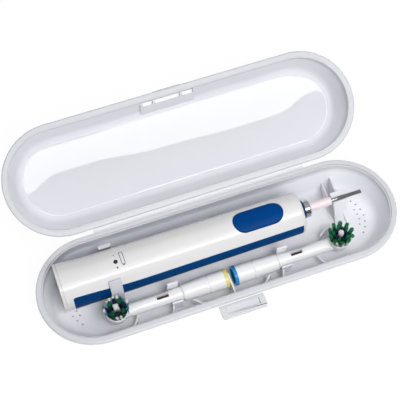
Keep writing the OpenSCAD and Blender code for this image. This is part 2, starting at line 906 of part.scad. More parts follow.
module left_head() {
  color([0.92, 0.92, 0.92])
    at_head(-1)
      head_body();
}

module left_ring() {
  color([0.95, 0.85, 0.25])
    at_head(-1)
      head_ring();
}

module left_link() {
  color([0.85, 0.85, 0.85])
    at_head(-1)
      head_link();
}

module left_plate() {
  color([0.93, 0.93, 0.93])
    at_head(-1)
      head_plate();
}

module left_bristles() {
  color([0.1, 0.4, 0.4])
    at_head(-1)
      head_bristles();
}

module right_head() {
  color([0.92, 0.92, 0.92])
    at_head(1)
      head_body();
}

module right_ring() {
  color([0.0, 0.42, 0.72])
    at_head(1)
      head_ring();
}

module right_link() {
  color([0.85, 0.85, 0.85])
    at_head(1)
      head_link();
}

module right_plate() {
  color([0.93, 0.93, 0.93])
    at_head(1)
      head_plate();
}

module right_bristles() {
  color([0.05, 0.45, 0.2])
    at_head(1)
      head_bristles();
}

base_tray();
tray_ribs();
front_arm();
back_tab();
neck_cradle();
head_clips();
base_hinge_strip();
latch_flap();
lid_shell();
lid_hinge_strip();
handle_shell();
foot_cap();
front_grip();
back_grip();
power_button();
collar();
chrome_ring();
neck_sleeve();
shaft_seal();
charge_lamp();
deck();
battery_cell();
circuit_board();
button_switch();
charge_coil();
motor();
motor_pinion();
gear_frame();
crank_gear();
shaft_bearing();
drive_shaft();
left_head();
left_ring();
left_link();
left_plate();
left_bristles();
right_head();
right_ring();
right_link();
right_plate();
right_bristles();
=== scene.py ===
from math import atan2, cos, degrees, hypot, pi, radians, sin, sqrt, tan

import bmesh
import bpy
from mathutils import Matrix, Vector


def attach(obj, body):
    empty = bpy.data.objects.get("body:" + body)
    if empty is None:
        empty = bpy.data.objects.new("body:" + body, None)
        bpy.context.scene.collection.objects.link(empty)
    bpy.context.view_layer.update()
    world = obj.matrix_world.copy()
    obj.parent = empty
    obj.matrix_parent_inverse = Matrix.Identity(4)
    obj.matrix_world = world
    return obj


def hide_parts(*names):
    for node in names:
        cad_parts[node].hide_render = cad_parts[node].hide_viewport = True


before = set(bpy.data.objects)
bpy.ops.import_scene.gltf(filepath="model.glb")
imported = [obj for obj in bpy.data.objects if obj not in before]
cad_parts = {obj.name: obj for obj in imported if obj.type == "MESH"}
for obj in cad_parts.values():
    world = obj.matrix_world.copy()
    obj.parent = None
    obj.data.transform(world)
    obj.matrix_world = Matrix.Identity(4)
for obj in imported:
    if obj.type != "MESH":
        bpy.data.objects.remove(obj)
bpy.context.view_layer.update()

MM = 0.001

# -------- sizes of the case, millimetres
END_R = 36.6  # radius of the case's ends, at the rim
STRAIGHT = 83.4  # half length of its straight sides
HALF_H = 21.3  # height of each half
WALL = 1.7
RIM_FLAT = 3.4  # width of the rim's flat
RIM_W = 4.4  # width of the rim with the ledge inside it
LIP_X = END_R - RIM_W  # where the inside wall starts
BAND = 3.7  # depth of the band below the rim
STEP = 1.0  # how far the band stands out from the wall
DRAFT = radians(23.5)
CORNER = 8.0  # outer radius between wall and floor
HINGE_Y = 37.83
HINGE_Z = 21.45
LID_TILT = radians(30)
LID_GAP = 0.15  # from the hinge line to the plane of the lid's rim
GROOVE_R, GROOVE_W, GROOVE_T = 23.2, 0.8, 0.3  # the groove round the lid's inner panel
VENT_R = 0.6
VENT_ARCS = ((18.7, (37, 25, 11, -4, -18, -31, -44)), (15.0, (17, 3, -11, -26)))
TAB_X, TAB_Y, TAB_TOP = (-73.4, -65.4), (23.15, 25.7), 1.6
BOW_R = (12.2, 13.4)  # the curved rib round the left brush
SEAT_R = 1.65  # the notch under the neck
WINDOWS = ((-8.7, 8.7), (-17.1, -10.1), (10.1, 18.0))
PAD_W, BEAD_W = 18.7, 9.5  # half widths of the windows' pad and of the latch's bead

# -------- sizes of the handle
GRIP_Y, GRIP_Z, GRIP_ROLL = 8.6, 18.2, radians(7)
FOOT_X, SHOULDER_X = -104.6, 58.0
FOOT_T = 1.9  # the foot cap's thickness at its edge
GRIP_R0, GRIP_R1, SHOULDER_R = 15.9, 14.6, 2.4
SHELL_R = 12.4  # inside radius of the shell
PAD_X0, PAD_X1, PAD_T = -98.0, 55.6, 0.9
PAD_HALF, PAD_TOPS = 31, (150.6, 17.5)  # degrees below level, and the top edges' angles
PAD_FLARE = 8.5  # degrees that the front pad gains at the foot
FLAT_DEPTH = 1.7  # how much flatter than round the handle's back is
FLAT_TURN, FLAT_SPREAD = 28, 75  # where, in degrees round the handle
FLAT_FADE, FLAT_CORE = (-104, -82), 10  # along it, and the radius from which it starts
BUTTON_X, BUTTON_LEN, BUTTON_WID = 28, 33.6, 14.8
BUTTON_RISE, BUTTON_ROLL, BUTTON_FLOOR = 0.5, 0.55, 11.4
LAMP_X, LAMP_R = -66.5, 1.1
CORE_R, COLLAR_R, COLLAR_T = 2.3, 6.45, 2.8
CHROME_R, CHROME_T = 6.05, 4.4
NECK_R, NECK_X1, NECK_HOLE = 2.8, 80.4, 1.3
TIP_X = 84.6  # where the shaft's knurled tip starts

# -------- sizes of the brush heads
HEAD_X = {-1: 0.9, 1: 2.9}
HEAD_Y, HEAD_Z = -16.8, 9.3
HEAD_LEN = 73.7  # from the ring's end to the middle of the brush
HEAD_R = 6.2
SLEEVE_X = 13.5  # the groove between sleeve and body
RING_W, RING_R = 2.2, 6.6
CUP_DROP = 3.2  # from the head's line down to the cup's floor
BORE_R, LINK_R = 2.88, 1.9  # the holes for the shaft and for the push link
SLOT_X, SLOT_HALF = (39.6, 47.4), 1.25
TUFT_Z = 4.2  # where the tufts stand

# -------- camera
FRAME_W = 400  # pixels
FOCAL = 1019.113  # pixels
SENSOR = 36.0
CAM_AZ, CAM_EL, CAM_ROLL = -19.515, 61.71, -0.109
CAM_AIM, CAM_FAR = (-0.529, 36.255, 21.3), 0.664703  # millimetres, metres


def set_camera():
    data = bpy.data.cameras.new("camera")
    data.sensor_fit = "HORIZONTAL"
    data.sensor_width = SENSOR
    data.lens = FOCAL / FRAME_W * SENSOR
    data.clip_start, data.clip_end = 0.05, 20.0
    cam = bpy.data.objects.new("camera", data)
    bpy.context.scene.collection.objects.link(cam)
    az, el, roll = radians(CAM_AZ), radians(CAM_EL), radians(CAM_ROLL)
    back = Vector((sin(az) * cos(el), -cos(az) * cos(el), sin(el)))
    right = (-back).cross(Vector((0, 0, 1))).normalized()
    up = right.cross(-back)
    rolled_right = right * cos(roll) + up * sin(roll)
    rolled_up = up * cos(roll) - right * sin(roll)
    turn = Matrix((rolled_right, rolled_up, back)).transposed().to_4x4()
    cam.matrix_world = Matrix.Translation(Vector(CAM_AIM) * MM + back * CAM_FAR) @ turn
    bpy.context.scene.camera = cam


set_camera()


# -------- node writing
class Val:
    """A socket that takes part in sums."""

    def __init__(self, net, socket):
        self.net, self.socket = net, socket

    def _math(self, op, *values):
        return self.net.node("ShaderNodeMath", {"operation": op}, values)

    def __add__(self, o): return self._math("ADD", self, o)
    def __radd__(self, o): return self._math("ADD", o, self)
    def __sub__(self, o): return self._math("SUBTRACT", self, o)
    def __rsub__(self, o): return self._math("SUBTRACT", o, self)
    def __mul__(self, o): return self._math("MULTIPLY", self, o)
    def __rmul__(self, o): return self._math("MULTIPLY", o, self)
    def __pow__(self, o): return self._math("POWER", self, o)
    def above(self, o): return self._math("GREATER_THAN", self, o)
    def high(self, o): return self._math("MAXIMUM", self, o)
    def size(self): return self._math("ABSOLUTE", self)

    def step(self, a, b):
        """Rises smoothly from 0 at a to 1 at b."""
        return self.net.node("ShaderNodeMapRange", {"interpolation_type": "SMOOTHSTEP"},
                             {"Value": self, "From Min": a, "From Max": b})

    def beside(self, output):
        """Another output of the same node."""
        return Val(self.net, self.socket.node.outputs[output])


class Net:
    """Adds nodes to a tree: settings first, then values and links."""

    def __init__(self, tree):
        self.tree = tree
        tree.nodes.clear()

    def node(self, kind, settings=None, inputs=None, output=0):
        n = self.tree.nodes.new(kind)
        for key, value in (settings or {}).items():
            setattr(n, key, value)
        for key, value in inputs.items() if isinstance(inputs, dict) else enumerate(inputs or []):
            self.feed(n.inputs[key], value)
        return Val(self, n.outputs[output]) if n.outputs else None

    def feed(self, socket, value):
        if isinstance(value, Val):
            self.tree.links.new(value.socket, socket)
        else:
            socket.default_value = value


class Ink(Net):
    """Builds one material's nodes, all on Object coordinates."""

    def __init__(self, name):
        self.mat = bpy.data.materials.new(name)
        self.mat.use_nodes = True
        super().__init__(self.mat.node_tree)
        self.where = self.node("ShaderNodeTexCoord", output="Object")

    def axes(self):
        x = self.node("ShaderNodeSeparateXYZ", None, [self.where])
        return x, x.beside(1), x.beside(2)

    def noise(self, scale, detail=3.0, rough=0.55, stretch=(1, 1, 1), seed=0.0):
        spot = self.where
        if seed or stretch != (1, 1, 1):
            spot = self.node("ShaderNodeMapping", None,
                             {"Vector": spot, "Location": (seed, seed * 0.7, seed * 1.3),
                              "Scale": stretch})
        return self.node("ShaderNodeTexNoise", None,
                         {"Vector": spot, "Scale": scale, "Detail": detail, "Roughness": rough})

    def flow(self):
        """Broad, faint streaks, as melted plastic leaves them."""
        return self.noise(28, 2, 0.5, seed=3.1).step(0.3, 0.7)

    def fine(self):
        return self.noise(620, 3, 0.6, seed=1.7)

    def scuffs(self):
        return self.noise(190, 4, 0.7, stretch=(0.35, 1.0, 1.0), seed=7.3).step(0.55, 0.72)

    def grain(self, strength, scale=5200, mask=None):
        """The bump of a moulded surface."""
        skin = self.noise(scale, 2, 0.6)
        return self.bump(skin if mask is None else skin * mask, strength, 0.00006)

    def mix(self, factor, a, b):
        a, b = (c if isinstance(c, Val) else (*c, 1) for c in (a, b))
        return self.node("ShaderNodeMix", {"data_type": "RGBA"}, {0: factor, 6: a, 7: b}, 2)

    def bump(self, height, strength, reach):
        return self.node("ShaderNodeBump", None,
                         {"Height": height, "Strength": strength, "Distance": reach})

    def finish(self, shader):
        self.node("ShaderNodeOutputMaterial", None, [shader])
        return self.mat

    def principled(self, **inputs):
        named = {key.replace("_", " "): value for key, value in inputs.items()}
        return self.finish(self.node("ShaderNodeBsdfPrincipled", None, named))


def shade(colour, k):
    return tuple(min(1.0, c * k) for c in colour)


# -------- materials
def moulded(name, colour, rough, grain=0.25, grain_scale=5200, coat=0.0, tint=0.02,
            coat_rough=0.08, specular=0.5):
    """Moulded plastic: faint flow colour, a fine grain and scuffs that change the roughness."""
    ink = Ink(name)
    fine = ink.fine()
    base = ink.mix(ink.flow(), shade(colour, 1 - tint * 2.2), shade(colour, 1 + tint * 0.6))
    base = ink.mix(fine.step(0.42, 0.75) * (tint * 2), base, shade(colour, 0.9))
    roughness = fine * (rough * 0.25) + rough * 0.86 + ink.scuffs() * (rough * 0.18)
    return ink.principled(Base_Color=base, Roughness=roughness, IOR=1.48,
                          Normal=ink.grain(grain, grain_scale), Specular_IOR_Level=specular,
                          Coat_Weight=coat, Coat_Roughness=coat_rough)


def case_plastic(name, colour):
    return moulded(name, colour, 0.34, grain=0.16, tint=0.012, coat=0.10, coat_rough=0.2)


def metal(name, colour, rough, brush=(1, 1, 1), grain=0.1, scale=900):
    """Metal with fine lines; brush stretches them."""
    ink = Ink(name)
    lines = ink.noise(scale, 3, 0.6, stretch=brush)
    base = ink.mix(lines.step(0.3, 0.7), shade(colour, 0.86), colour)
    return ink.principled(Base_Color=base, Metallic=1.0,
                          Roughness=lines * (rough * 0.7) + rough * 0.65,
                          Normal=ink.bump(lines, grain, 0.00004))


CASE_WHITE = (0.86, 0.865, 0.905)
# painted shade: the lid's white and its panel's white are darker copies of the case's white
LID_SHADED_WHITE, PANEL_SHADED_WHITE = (0.81, 0.815, 0.855), (0.745, 0.75, 0.79)
RIM_PAINTED_SHADE = 0.80  # painted shade: the thin rim's brightness beside the rest


def from_middle(x, across):
    """How far a place is from the case's middle line."""
    along = (x.size() - STRAIGHT * MM).high(0.0)
    return (along * along + across * across) ** 0.5


def half_plastic(name, tilt, white, panel_shaded_white):
    """A case half: its thin rim is painted darker, as painted shade, and a lid's inner panel is
    polished.
    """
    ink = Ink(name)
    x, y, z = ink.axes()
    across, depth = y, z - HALF_H * MM
    if tilt:
        c, s = cos(tilt), sin(tilt)
        across = (y - HINGE_Y * MM) * c + (z - HINGE_Z * MM) * s - HINGE_Y * MM
        depth = (z - HINGE_Z * MM) * c - (y - HINGE_Y * MM) * s + LID_GAP * MM
    apart = from_middle(x, across)
    # painted shade on the rim's flat and on the band below it
    rim = depth.step(-(BAND + 1.2) * MM, -(BAND + 0.7) * MM) * \
        apart.step((LIP_X - 0.3) * MM, LIP_X * MM)
    fine, scuffs = ink.fine(), ink.scuffs()
    base = ink.mix(ink.flow(), shade(white, 0.975), white)
    base = ink.mix(rim, base, shade(white, RIM_PAINTED_SHADE))
    roughness = fine * 0.085 + 0.29 + scuffs * 0.06
    plain, coat = None, 0.1
    if tilt:
        panel = (1 - apart.step((GROOVE_R - 0.3) * MM, GROOVE_R * MM)) * \
            depth.above((WALL - HALF_H - 0.6) * MM)
        plain = 1 - panel
        # the polished panel takes its darker white as painted shade
        base = ink.mix(panel, base, panel_shaded_white)
        roughness = roughness * plain + panel * (scuffs * 0.015 + 0.02)
        coat = panel * 0.9 + 0.1
    base = ink.mix(fine.step(0.42, 0.75) * 0.024, base, shade(white, 0.9))
    return ink.principled(Base_Color=base, Roughness=roughness, IOR=1.48,
                          Normal=ink.grain(0.16, mask=plain), Coat_Weight=coat,
                          Coat_Roughness=0.015 if tilt else 0.2)


def shaft_steel():
    """Ground steel, and a darker knurled tip."""
    ink = Ink("shaft_ground_steel")
    lines = ink.noise(900, 3, 0.6, stretch=(0.05, 1, 1))
    pale = lines.step(0.3, 0.7)
    tip = ink.axes()[0].step(TIP_X * MM, (TIP_X + 0.4) * MM)
    bright = ink.mix(pale, (0.48, 0.49, 0.51), (0.60, 0.61, 0.63))
    dark = ink.mix(pale, (0.14, 0.14, 0.145), (0.24, 0.24, 0.245))
    return ink.principled(Base_Color=ink.mix(tip, bright, dark), Metallic=1 - tip * 0.35,
                          Roughness=lines * 0.16 + 0.14 + tip * 0.2,
                          Normal=ink.bump(lines, 0.3, 0.00004))


def head_plastic():
    """Glossy white plastic, with painted shade in the tunnel where the link runs, flecked with
    painted warm glints.
    """
    ink = Ink("head_gloss_white")
    x, y, z = ink.axes()
    off_y, off_z = y - HEAD_Y * MM, z - HEAD_Z * MM
    off = (off_y * off_y + off_z * off_z) ** 0.5
    # painted shade inside the link's tunnel, seen through the slot
    hollow_shade = 1 - off.step((LINK_R + 0.02) * MM, (LINK_R + 0.1) * MM)
    hollow_shade = hollow_shade * x.size().above(20 * MM)
    # painted glints: warm flecks within the painted shade
    warm_glint = ink.noise(420, 1, 0.5, seed=9.0).step(0.5, 0.62)
    pale = ink.mix(ink.flow(), (0.845, 0.84, 0.845), (0.865, 0.86, 0.865))
    dark = ink.mix(warm_glint, (0.03, 0.026, 0.024), (0.13, 0.10, 0.085))
    return ink.principled(Base_Color=ink.mix(hollow_shade, pale, dark), IOR=1.48,
                          Roughness=ink.fine() * 0.05 + 0.17, Normal=ink.grain(0.03),
                          Coat_Weight=0.4 - hollow_shade * 0.4, Coat_Roughness=0.08)


def filament_material(name, shaded_root, tip):
    """Nylon filaments: darker at the root, as painted shade within the tuft, and paler towards the
    tip, as a painted highlight.
    """
    ink = Ink(name)
    # painted shade low in the tuft, rising to a painted highlight at the tips
    up = ink.axes()[2].step((HEAD_Z + 5) * MM, (HEAD_Z + 14.8) * MM)
    strand = ink.noise(900, 2, 0.5, stretch=(1, 1, 0.02))
    base = ink.mix(up, shaded_root, tip)
    base = ink.mix(strand.step(0.3, 0.75) * 0.5, base, tuple(min(1, c * 1.5 + 0.01) for c in tip))
    return ink.principled(Base_Color=base, Roughness=strand * 0.2 + 0.3,
                          Normal=ink.bump(strand, 0.3, 0.00005))


CASE = case_plastic("case_polypropylene", CASE_WHITE)
TRAY_CASE = half_plastic("tray_polypropylene", 0, CASE_WHITE, None)
LID_CASE = half_plastic("lid_polypropylene_polished_panel", LID_TILT, LID_SHADED_WHITE, PANEL_SHADED_WHITE)
LATCH = case_plastic("latch_polypropylene", shade(CASE_WHITE, 0.85))
# painted shade: the arm's plastic is a darker copy of the case's white, for the shade the arm
# stands in
ARM_PAINTED_SHADE = case_plastic("arm_polypropylene_painted_shade", (0.615, 0.62, 0.675))
FOLD = moulded("fold_strip_polypropylene", (0.80, 0.805, 0.845), 0.4, grain=0.3, tint=0.02)
SHELL = moulded("handle_gloss_white", (0.79, 0.78, 0.78), 0.10, grain=0.03, coat=0.15,
                coat_rough=0.06, tint=0.01)
FOOT = moulded("foot_gloss_white", (0.77, 0.762, 0.735), 0.2, grain=0.04, coat=0.4, tint=0.012)
GRIP = moulded("grip_blue_rubber", (0.0, 0.051, 0.19), 0.45, grain=0.5, grain_scale=2600,
               tint=0.06, specular=0.05)
BUTTON = moulded("button_blue_rubber", (0.0, 0.052, 0.23), 0.32, grain=0.35, grain_scale=2600,
                 tint=0.05, specular=0.06)
COLLAR = moulded("collar_blue", (0.001, 0.035, 0.15), 0.3, grain=0.2, tint=0.05, specular=0.25)
CHROME = metal("ring_chrome", (0.78, 0.79, 0.82), 0.1, brush=(0.2, 1, 1), grain=0.02)
NECK = moulded("neck_pinkish_white", (0.92, 0.80, 0.82), 0.3, grain=0.1, tint=0.015)
STEEL = shaft_steel()
SEAL = moulded("seal_black_rubber", (0.02, 0.02, 0.022), 0.55, grain=0.4, tint=0.1)
LAMP = moulded("lamp_smoked", (0.012, 0.016, 0.013), 0.12, grain=0.02, coat=0.6, tint=0.1)
PRINT = moulded("printed_grey_mark", (0.10, 0.11, 0.13), 0.4, grain=0.2, tint=0.05)
HEAD = head_plastic()
HEAD_PLATE = moulded("brush_plate_white", (0.85, 0.86, 0.87), 0.32, grain=0.1, tint=0.01)
YELLOW = moulded("ring_yellow", (0.76, 0.69, 0.18), 0.2, grain=0.1, tint=0.03, coat=0.5)
BLUE = moulded("ring_blue", (0.005, 0.25, 0.60), 0.2, grain=0.1, tint=0.03, coat=0.5)
GREEN = filament_material("bristle_green", (0.001, 0.03, 0.015), (0.005, 0.19, 0.06))
DEEP_GREEN = filament_material("bristle_deep_green", (0.001, 0.02, 0.014), (0.003, 0.115, 0.048))
NAVY = filament_material("bristle_dark_blue", (0.001, 0.006, 0.02), (0.001, 0.014, 0.06))
TEAL = filament_material("bristle_teal", (0.005, 0.05, 0.09), (0.05, 0.22, 0.34))
WHITE = filament_material("bristle_white", (0.35, 0.42, 0.42), (0.80, 0.84, 0.84))
# the links are steel, given a very dark colour as painted shade where they show through the heads'
# slots
LINK = (0.11, 0.09, 0.08)
INSIDE = {
    "deck": moulded("deck_grey", (0.42, 0.43, 0.46), 0.5),
    "battery_cell": moulded("cell_green_sleeve", (0.02, 0.20, 0.09), 0.25, coat=0.3),
    "circuit_board": moulded("board_green_lacquer", (0.01, 0.13, 0.05), 0.3, coat=0.4, tint=0.1),
    "button_switch": moulded("switch_black", (0.03, 0.03, 0.035), 0.45),
    "charge_coil": metal("coil_copper", (0.80, 0.36, 0.18), 0.35, brush=(4, 0.2, 0.2), grain=0.8,
                         scale=2200),
    "motor": metal("motor_can_steel", (0.55, 0.56, 0.58), 0.3, brush=(1, 0.1, 0.1), grain=0.3),
    "motor_pinion": metal("pinion_brass", (0.75, 0.57, 0.25), 0.28, grain=0.2),
    "gear_frame": moulded("frame_grey", (0.36, 0.36, 0.38), 0.5),
    "crank_gear": moulded("gear_nylon", (0.72, 0.71, 0.64), 0.4),
    "shaft_bearing": moulded("bearing_grey", (0.34, 0.34, 0.36), 0.45),
    "left_link": metal("link_steel", LINK, 0.3, brush=(0.1, 1, 1), grain=0.2),
    "right_link": metal("link_steel_right", LINK, 0.3, brush=(0.1, 1, 1), grain=0.2),
    "shaft_seal": SEAL,
}


def paint(mesh, material):
    mesh.materials.clear()
    mesh.materials.append(material)


for node_name, material in INSIDE.items():
    paint(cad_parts[node_name].data, material)


# -------- mesh making
MERGE = 2e-6  # metres
END_CUTS, SIDE_CUTS = 40, 28  # in one end and one side of the case


def add_object(name, mesh):
    obj = bpy.data.objects.new(name, mesh)
    bpy.context.scene.collection.objects.link(obj)
    return obj


def written(name, bm):
    mesh = bpy.data.meshes.new(name)
    bm.to_mesh(mesh)
    bm.free()
    return add_object(name, mesh)


def make_mesh(name, verts, faces, place=None):
    """A mesh from points in millimetres, its doubles merged and its faces turned outwards."""
    bm = bmesh.new()
    points = [bm.verts.new(Vector(place(*v) if place else v) * MM) for v in verts]
    for f in faces:
        if len(set(f)) > 2:
            try:
                bm.faces.new([points[i] for i in f])
            except ValueError:  # the same face a second time
                pass
    bmesh.ops.remove_doubles(bm, verts=bm.verts, dist=MERGE)
    bmesh.ops.recalc_face_normals(bm, faces=bm.faces)
    return written(name, bm)


def settle(obj):
    """Turns the modifiers' result into the plain mesh."""
    graph = bpy.context.evaluated_depsgraph_get()
    mesh = bpy.data.meshes.new_from_object(obj.evaluated_get(graph))
    obj.modifiers.clear()
    old = obj.data
    obj.data = mesh
    bpy.data.meshes.remove(old)
    return obj


def combine(obj, tools, way="DIFFERENCE"):
    """Cuts, joins or trims obj with closed tool shapes, and removes the tools."""
    for tool in tools:
        mod = obj.modifiers.new("cut", "BOOLEAN")
        mod.operation, mod.object, mod.solver = way, tool, "EXACT"
    settle(obj)
    for tool in tools:
        bpy.data.objects.remove(tool)
    return obj


def soften(obj, width=0.0, steps=2, angle=32):
    """Rounds the sharp edges and smooths the rest."""
    if width:
        mod = obj.modifiers.new("round", "BEVEL")
        mod.width, mod.segments = width * MM, steps
        mod.limit_method, mod.angle_limit = "ANGLE", radians(angle)
        mod.use_clamp_overlap = True
        mod.miter_outer = "MITER_ARC"
        settle(obj)
    obj.data.shade_smooth()
    obj.data.set_sharp_from_angle(angle=radians(angle + 8))
    obj.modifiers.new("level", "WEIGHTED_NORMAL").keep_sharp = True
    return settle(obj)


def dress(obj, edge, material, body, slot, *replaced):
    """Softens a piece (edge: width, steps, angle), paints it and puts it on its body."""
    if edge is not None:
        soften(obj, *edge)
    paint(obj.data, material)
    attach(obj, body)
    if replaced:
        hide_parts(*replaced)


def ramp(x, a, b):
    """0 before a, 1 past b, and straight between them."""
    return max(0.0, min(1.0, (x - a) / (b - a)))


def ease(t):
    return t * t * (3 - 2 * t)


def arc(cx, cy, r, a0, a1, n):
    turn = [radians(a0 + (a1 - a0) * i / n) for i in range(n + 1)]
    return [(cx + r * cos(t), cy + r * sin(t)) for t in turn]


def circle(cx, cy, r, n):
    return arc(cx, cy, r, 0, 360, n)[:-1]


def rounded(points, radii, n=4, closed=False):
    """The points joined by straight lines, with an arc of the given radius at each corner."""
    out, count = [], len(points)
    for i, (p, r) in enumerate(zip(points, radii)):
        if not r or (not closed and i in (0, count - 1)):
            out.append(tuple(p))
            continue
        p = Vector(p)
        a = Vector(points[i - 1]) - p
        b = Vector(points[(i + 1) % count]) - p
        half = a.angle(b) / 2
        back = min(r / tan(half), a.length * 0.49, b.length * 0.49)
        real = back * tan(half)
        centre = p + (a.normalized() + b.normalized()).normalized() * (real / sin(half))
        v0 = p + a.normalized() * back - centre
        v1 = p + b.normalized() * back - centre
        turn = v0.angle_signed(v1)
        for k in range(n + 1):
            t = -turn * k / n
            out.append((centre.x + v0.x * cos(t) - v0.y * sin(t),
                        centre.y + v0.x * sin(t) + v0.y * cos(t)))
    return out


def loft(rings, m, closed=False):
    """Quads between rings of m points, the last ring meeting the first."""
    return [(i * m + k, j * m + k, j * m + (k + 1) % m, i * m + (k + 1) % m)
            for i, j in zip(range(rings), [*range(1, rings), 0])
            for k in range(m if closed else m - 1)]


def pan(name, section, place, top=True):
    """A round-ended body from a half section of (distance, height) points."""
    path, m, verts = [], len(section), []
    for s in (1, -1):
        path += [(s * STRAIGHT, 180 * i / END_CUTS - 90 * s) for i in range(END_CUTS)]
        path += [(s * (STRAIGHT - 2 * STRAIGHT * i / SIDE_CUTS), 90 * s)
                 for i in range(SIDE_CUTS)]
    for cx, a in path:
        c, s = cos(radians(a)), sin(radians(a))
        verts += [(cx + r * c, r * s, z) for r, z in section]
    faces = loft(len(path), m) + [[i * m for i in range(len(path))][::-1]]
    if top:
        faces.append([i * m + m - 1 for i in range(len(path))])
    return make_mesh(name, verts, faces, place)


def turned(name, section, place, n=96):
    """A body turned about X from (radius, distance) points; ends on the axis are closed."""
    verts, solid = [], section[0][0] == 0 and section[-1][0] == 0
    for i in range(n):
        a = 2 * pi * i / n
        verts += [(x, r * cos(a), r * sin(a)) for r, x in section]
    return make_mesh(name, verts, loft(n, len(section), not solid), place)


def prism(name, outline, z0, z1, place):
    m = len(outline)
    verts = [(x, y, z) for z in (z0, z1) for x, y in outline]
    faces = [list(range(m))[::-1], [m + i for i in range(m)]]
    faces += [(i, (i + 1) % m, m + (i + 1) % m, m + i) for i in range(m)]
    return make_mesh(name, verts, faces, place)


def block(name, lo, hi, place):
    x0, y0, z0 = lo
    x1, y1, z1 = hi
    return prism(name, [(x0, y0), (x1, y0), (x1, y1), (x0, y1)], z0, z1, place)


def from_solid(name, node, *edge):
    """A copy of a solid with its doubles merged, flats joined and edges rounded."""
    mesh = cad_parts[node].data.copy()
    bm = bmesh.new()
    bm.from_mesh(mesh)
    bmesh.ops.remove_doubles(bm, verts=bm.verts, dist=MERGE / 2)
    bmesh.ops.dissolve_limit(bm, angle_limit=radians(1.0), verts=bm.verts, edges=bm.edges)
    bm.to_mesh(mesh)
    bm.free()
    return soften(add_object(name, mesh), *edge)


def copied(name, node, edge, material, body, slot):
    dress(from_solid(name, node, *edge), None, material, body, slot, node)


# -------- places
def in_base(x, y, z):
    """Base pieces are drawn from the rim plane."""
    return x, y, z + HALF_H


def in_lid(x, y, z):
    """Lid pieces are drawn from its rim plane too, about the middle of the lid."""
    c, s = cos(LID_TILT), sin(LID_TILT)
    y, z = y + HINGE_Y, z - LID_GAP
    return x, HINGE_Y + y * c - z * s, HINGE_Z + y * s + z * c


def in_grip(x, y, z):
    c, s = cos(GRIP_ROLL), sin(GRIP_ROLL)
    return x, GRIP_Y + y * c - z * s, GRIP_Z + y * s + z * c


def in_worn_grip(x, y, z):
    """The handle's back is a little flatter than round, most of all away from its foot."""
    rad = hypot(y, z)
    if rad < FLAT_CORE:
        return in_grip(x, y, z)
    off = (degrees(atan2(z, y) + GRIP_ROLL) - FLAT_TURN) / FLAT_SPREAD
    dent = FLAT_DEPTH * cos(pi / 2 * off) ** 2 if abs(off) < 1 else 0.0
    dent *= 0.25 + 0.75 * ramp(x, *FLAT_FADE)
    k = 1 - dent * ramp(rad, FLAT_CORE, FLAT_CORE + 3) / rad
    return in_grip(x, y * k, z * k)


def in_head(side):
    return lambda x, y, z: (side * (HEAD_X[side] + x), HEAD_Y + side * y, HEAD_Z + z)


# -------- case halves
COR_Z = -HALF_H + CORNER
WALL_Z = COR_Z - CORNER * sin(DRAFT)
WALL_R = END_R - STEP - (-BAND - WALL_Z) * tan(DRAFT)
COR_C = WALL_R - CORNER * cos(DRAFT)
IN_C = CORNER - WALL
IN_Z = COR_Z - IN_C * sin(DRAFT)
IN_R = COR_C + IN_C * cos(DRAFT)
LIP_Z = IN_Z + (LIP_X - IN_R) / tan(DRAFT)
FLOOR_R = COR_C - 2.0
PANEL_Z = WALL - HALF_H  # the floor's inside, in the tray and in the lid
FLAT_X = END_R - RIM_FLAT
LET_IN = 0.5  # how far pieces on the tray's floor reach into its walls


def outside_section():
    """From the floor's underside, up the wall and over the band to the flat of the rim."""
    low = [(FLOOR_R, -HALF_H)] + arc(COR_C, COR_Z, CORNER, -90, -degrees(DRAFT), 9)
    band = rounded([(END_R - STEP - 0.4, -BAND - 0.92), (END_R - STEP, -BAND), (END_R, -BAND),
                    (END_R, 0), (FLAT_X, 0)], [0, 0.35, 0.5, 0.95, 0], 5)
    return low + band[1:-1]


def inside_section():
    """From the ledge inside the rim, down the wall to the floor."""
    lip = rounded([(LIP_X, -0.55), (LIP_X, LIP_Z), (IN_R, IN_Z)], [0, 2.5, 0], 6)
    low = arc(COR_C, COR_Z, IN_C, -degrees(DRAFT), -90, 9)
    return lip + low[1:] + [(FLOOR_R, PANEL_Z)]


def join_all(objs):
    bm = bmesh.new()
    for o in objs:
        bm.from_mesh(o.data)
        bpy.data.objects.remove(o)
    return written("joined", bm)


def make_base_tray():
    ledge = rounded([(FLAT_X, 0), (FLAT_X - 0.05, -1.1), (FLAT_X - 0.42, -1.1),
                     (FLAT_X - 0.5, -0.6), (LIP_X + 0.15, -0.6), (LIP_X, -0.75)],
                    [0, 0.1, 0.1, 0.12, 0.12, 0], 3)
    section = outside_section() + [(END_R - 1.6, 0)] + ledge + inside_section()[1:]
    tray = pan("base_tray_shell", section, in_base)
    holes = []
    for s in (-1, 1):
        for radius, angles in VENT_ARCS:
            for a in map(radians, angles):
                ring = circle(s * (STRAIGHT + radius * cos(a)), radius * sin(a),
                              VENT_R, 16)
                holes.append(prism("hole", ring, -HALF_H - 1, PANEL_Z + 1, in_base))
    combine(tray, [join_all(holes)])
    dress(tray, (), TRAY_CASE, "base", "case_plastic", "base_tray")


def keep_inside(obj):
    """Trims obj to the inside of the tray, let into its walls a little."""
    corner = arc(COR_C, COR_Z, IN_C + LET_IN, -90, -degrees(DRAFT), 9)
    section = [(FLOOR_R, PANEL_Z - LET_IN)] + corner[1:] + \
        [(LIP_X + LET_IN, LIP_Z), (LIP_X + LET_IN, 4)]
    return combine(obj, [pan("space", section, in_base)], "INTERSECT")


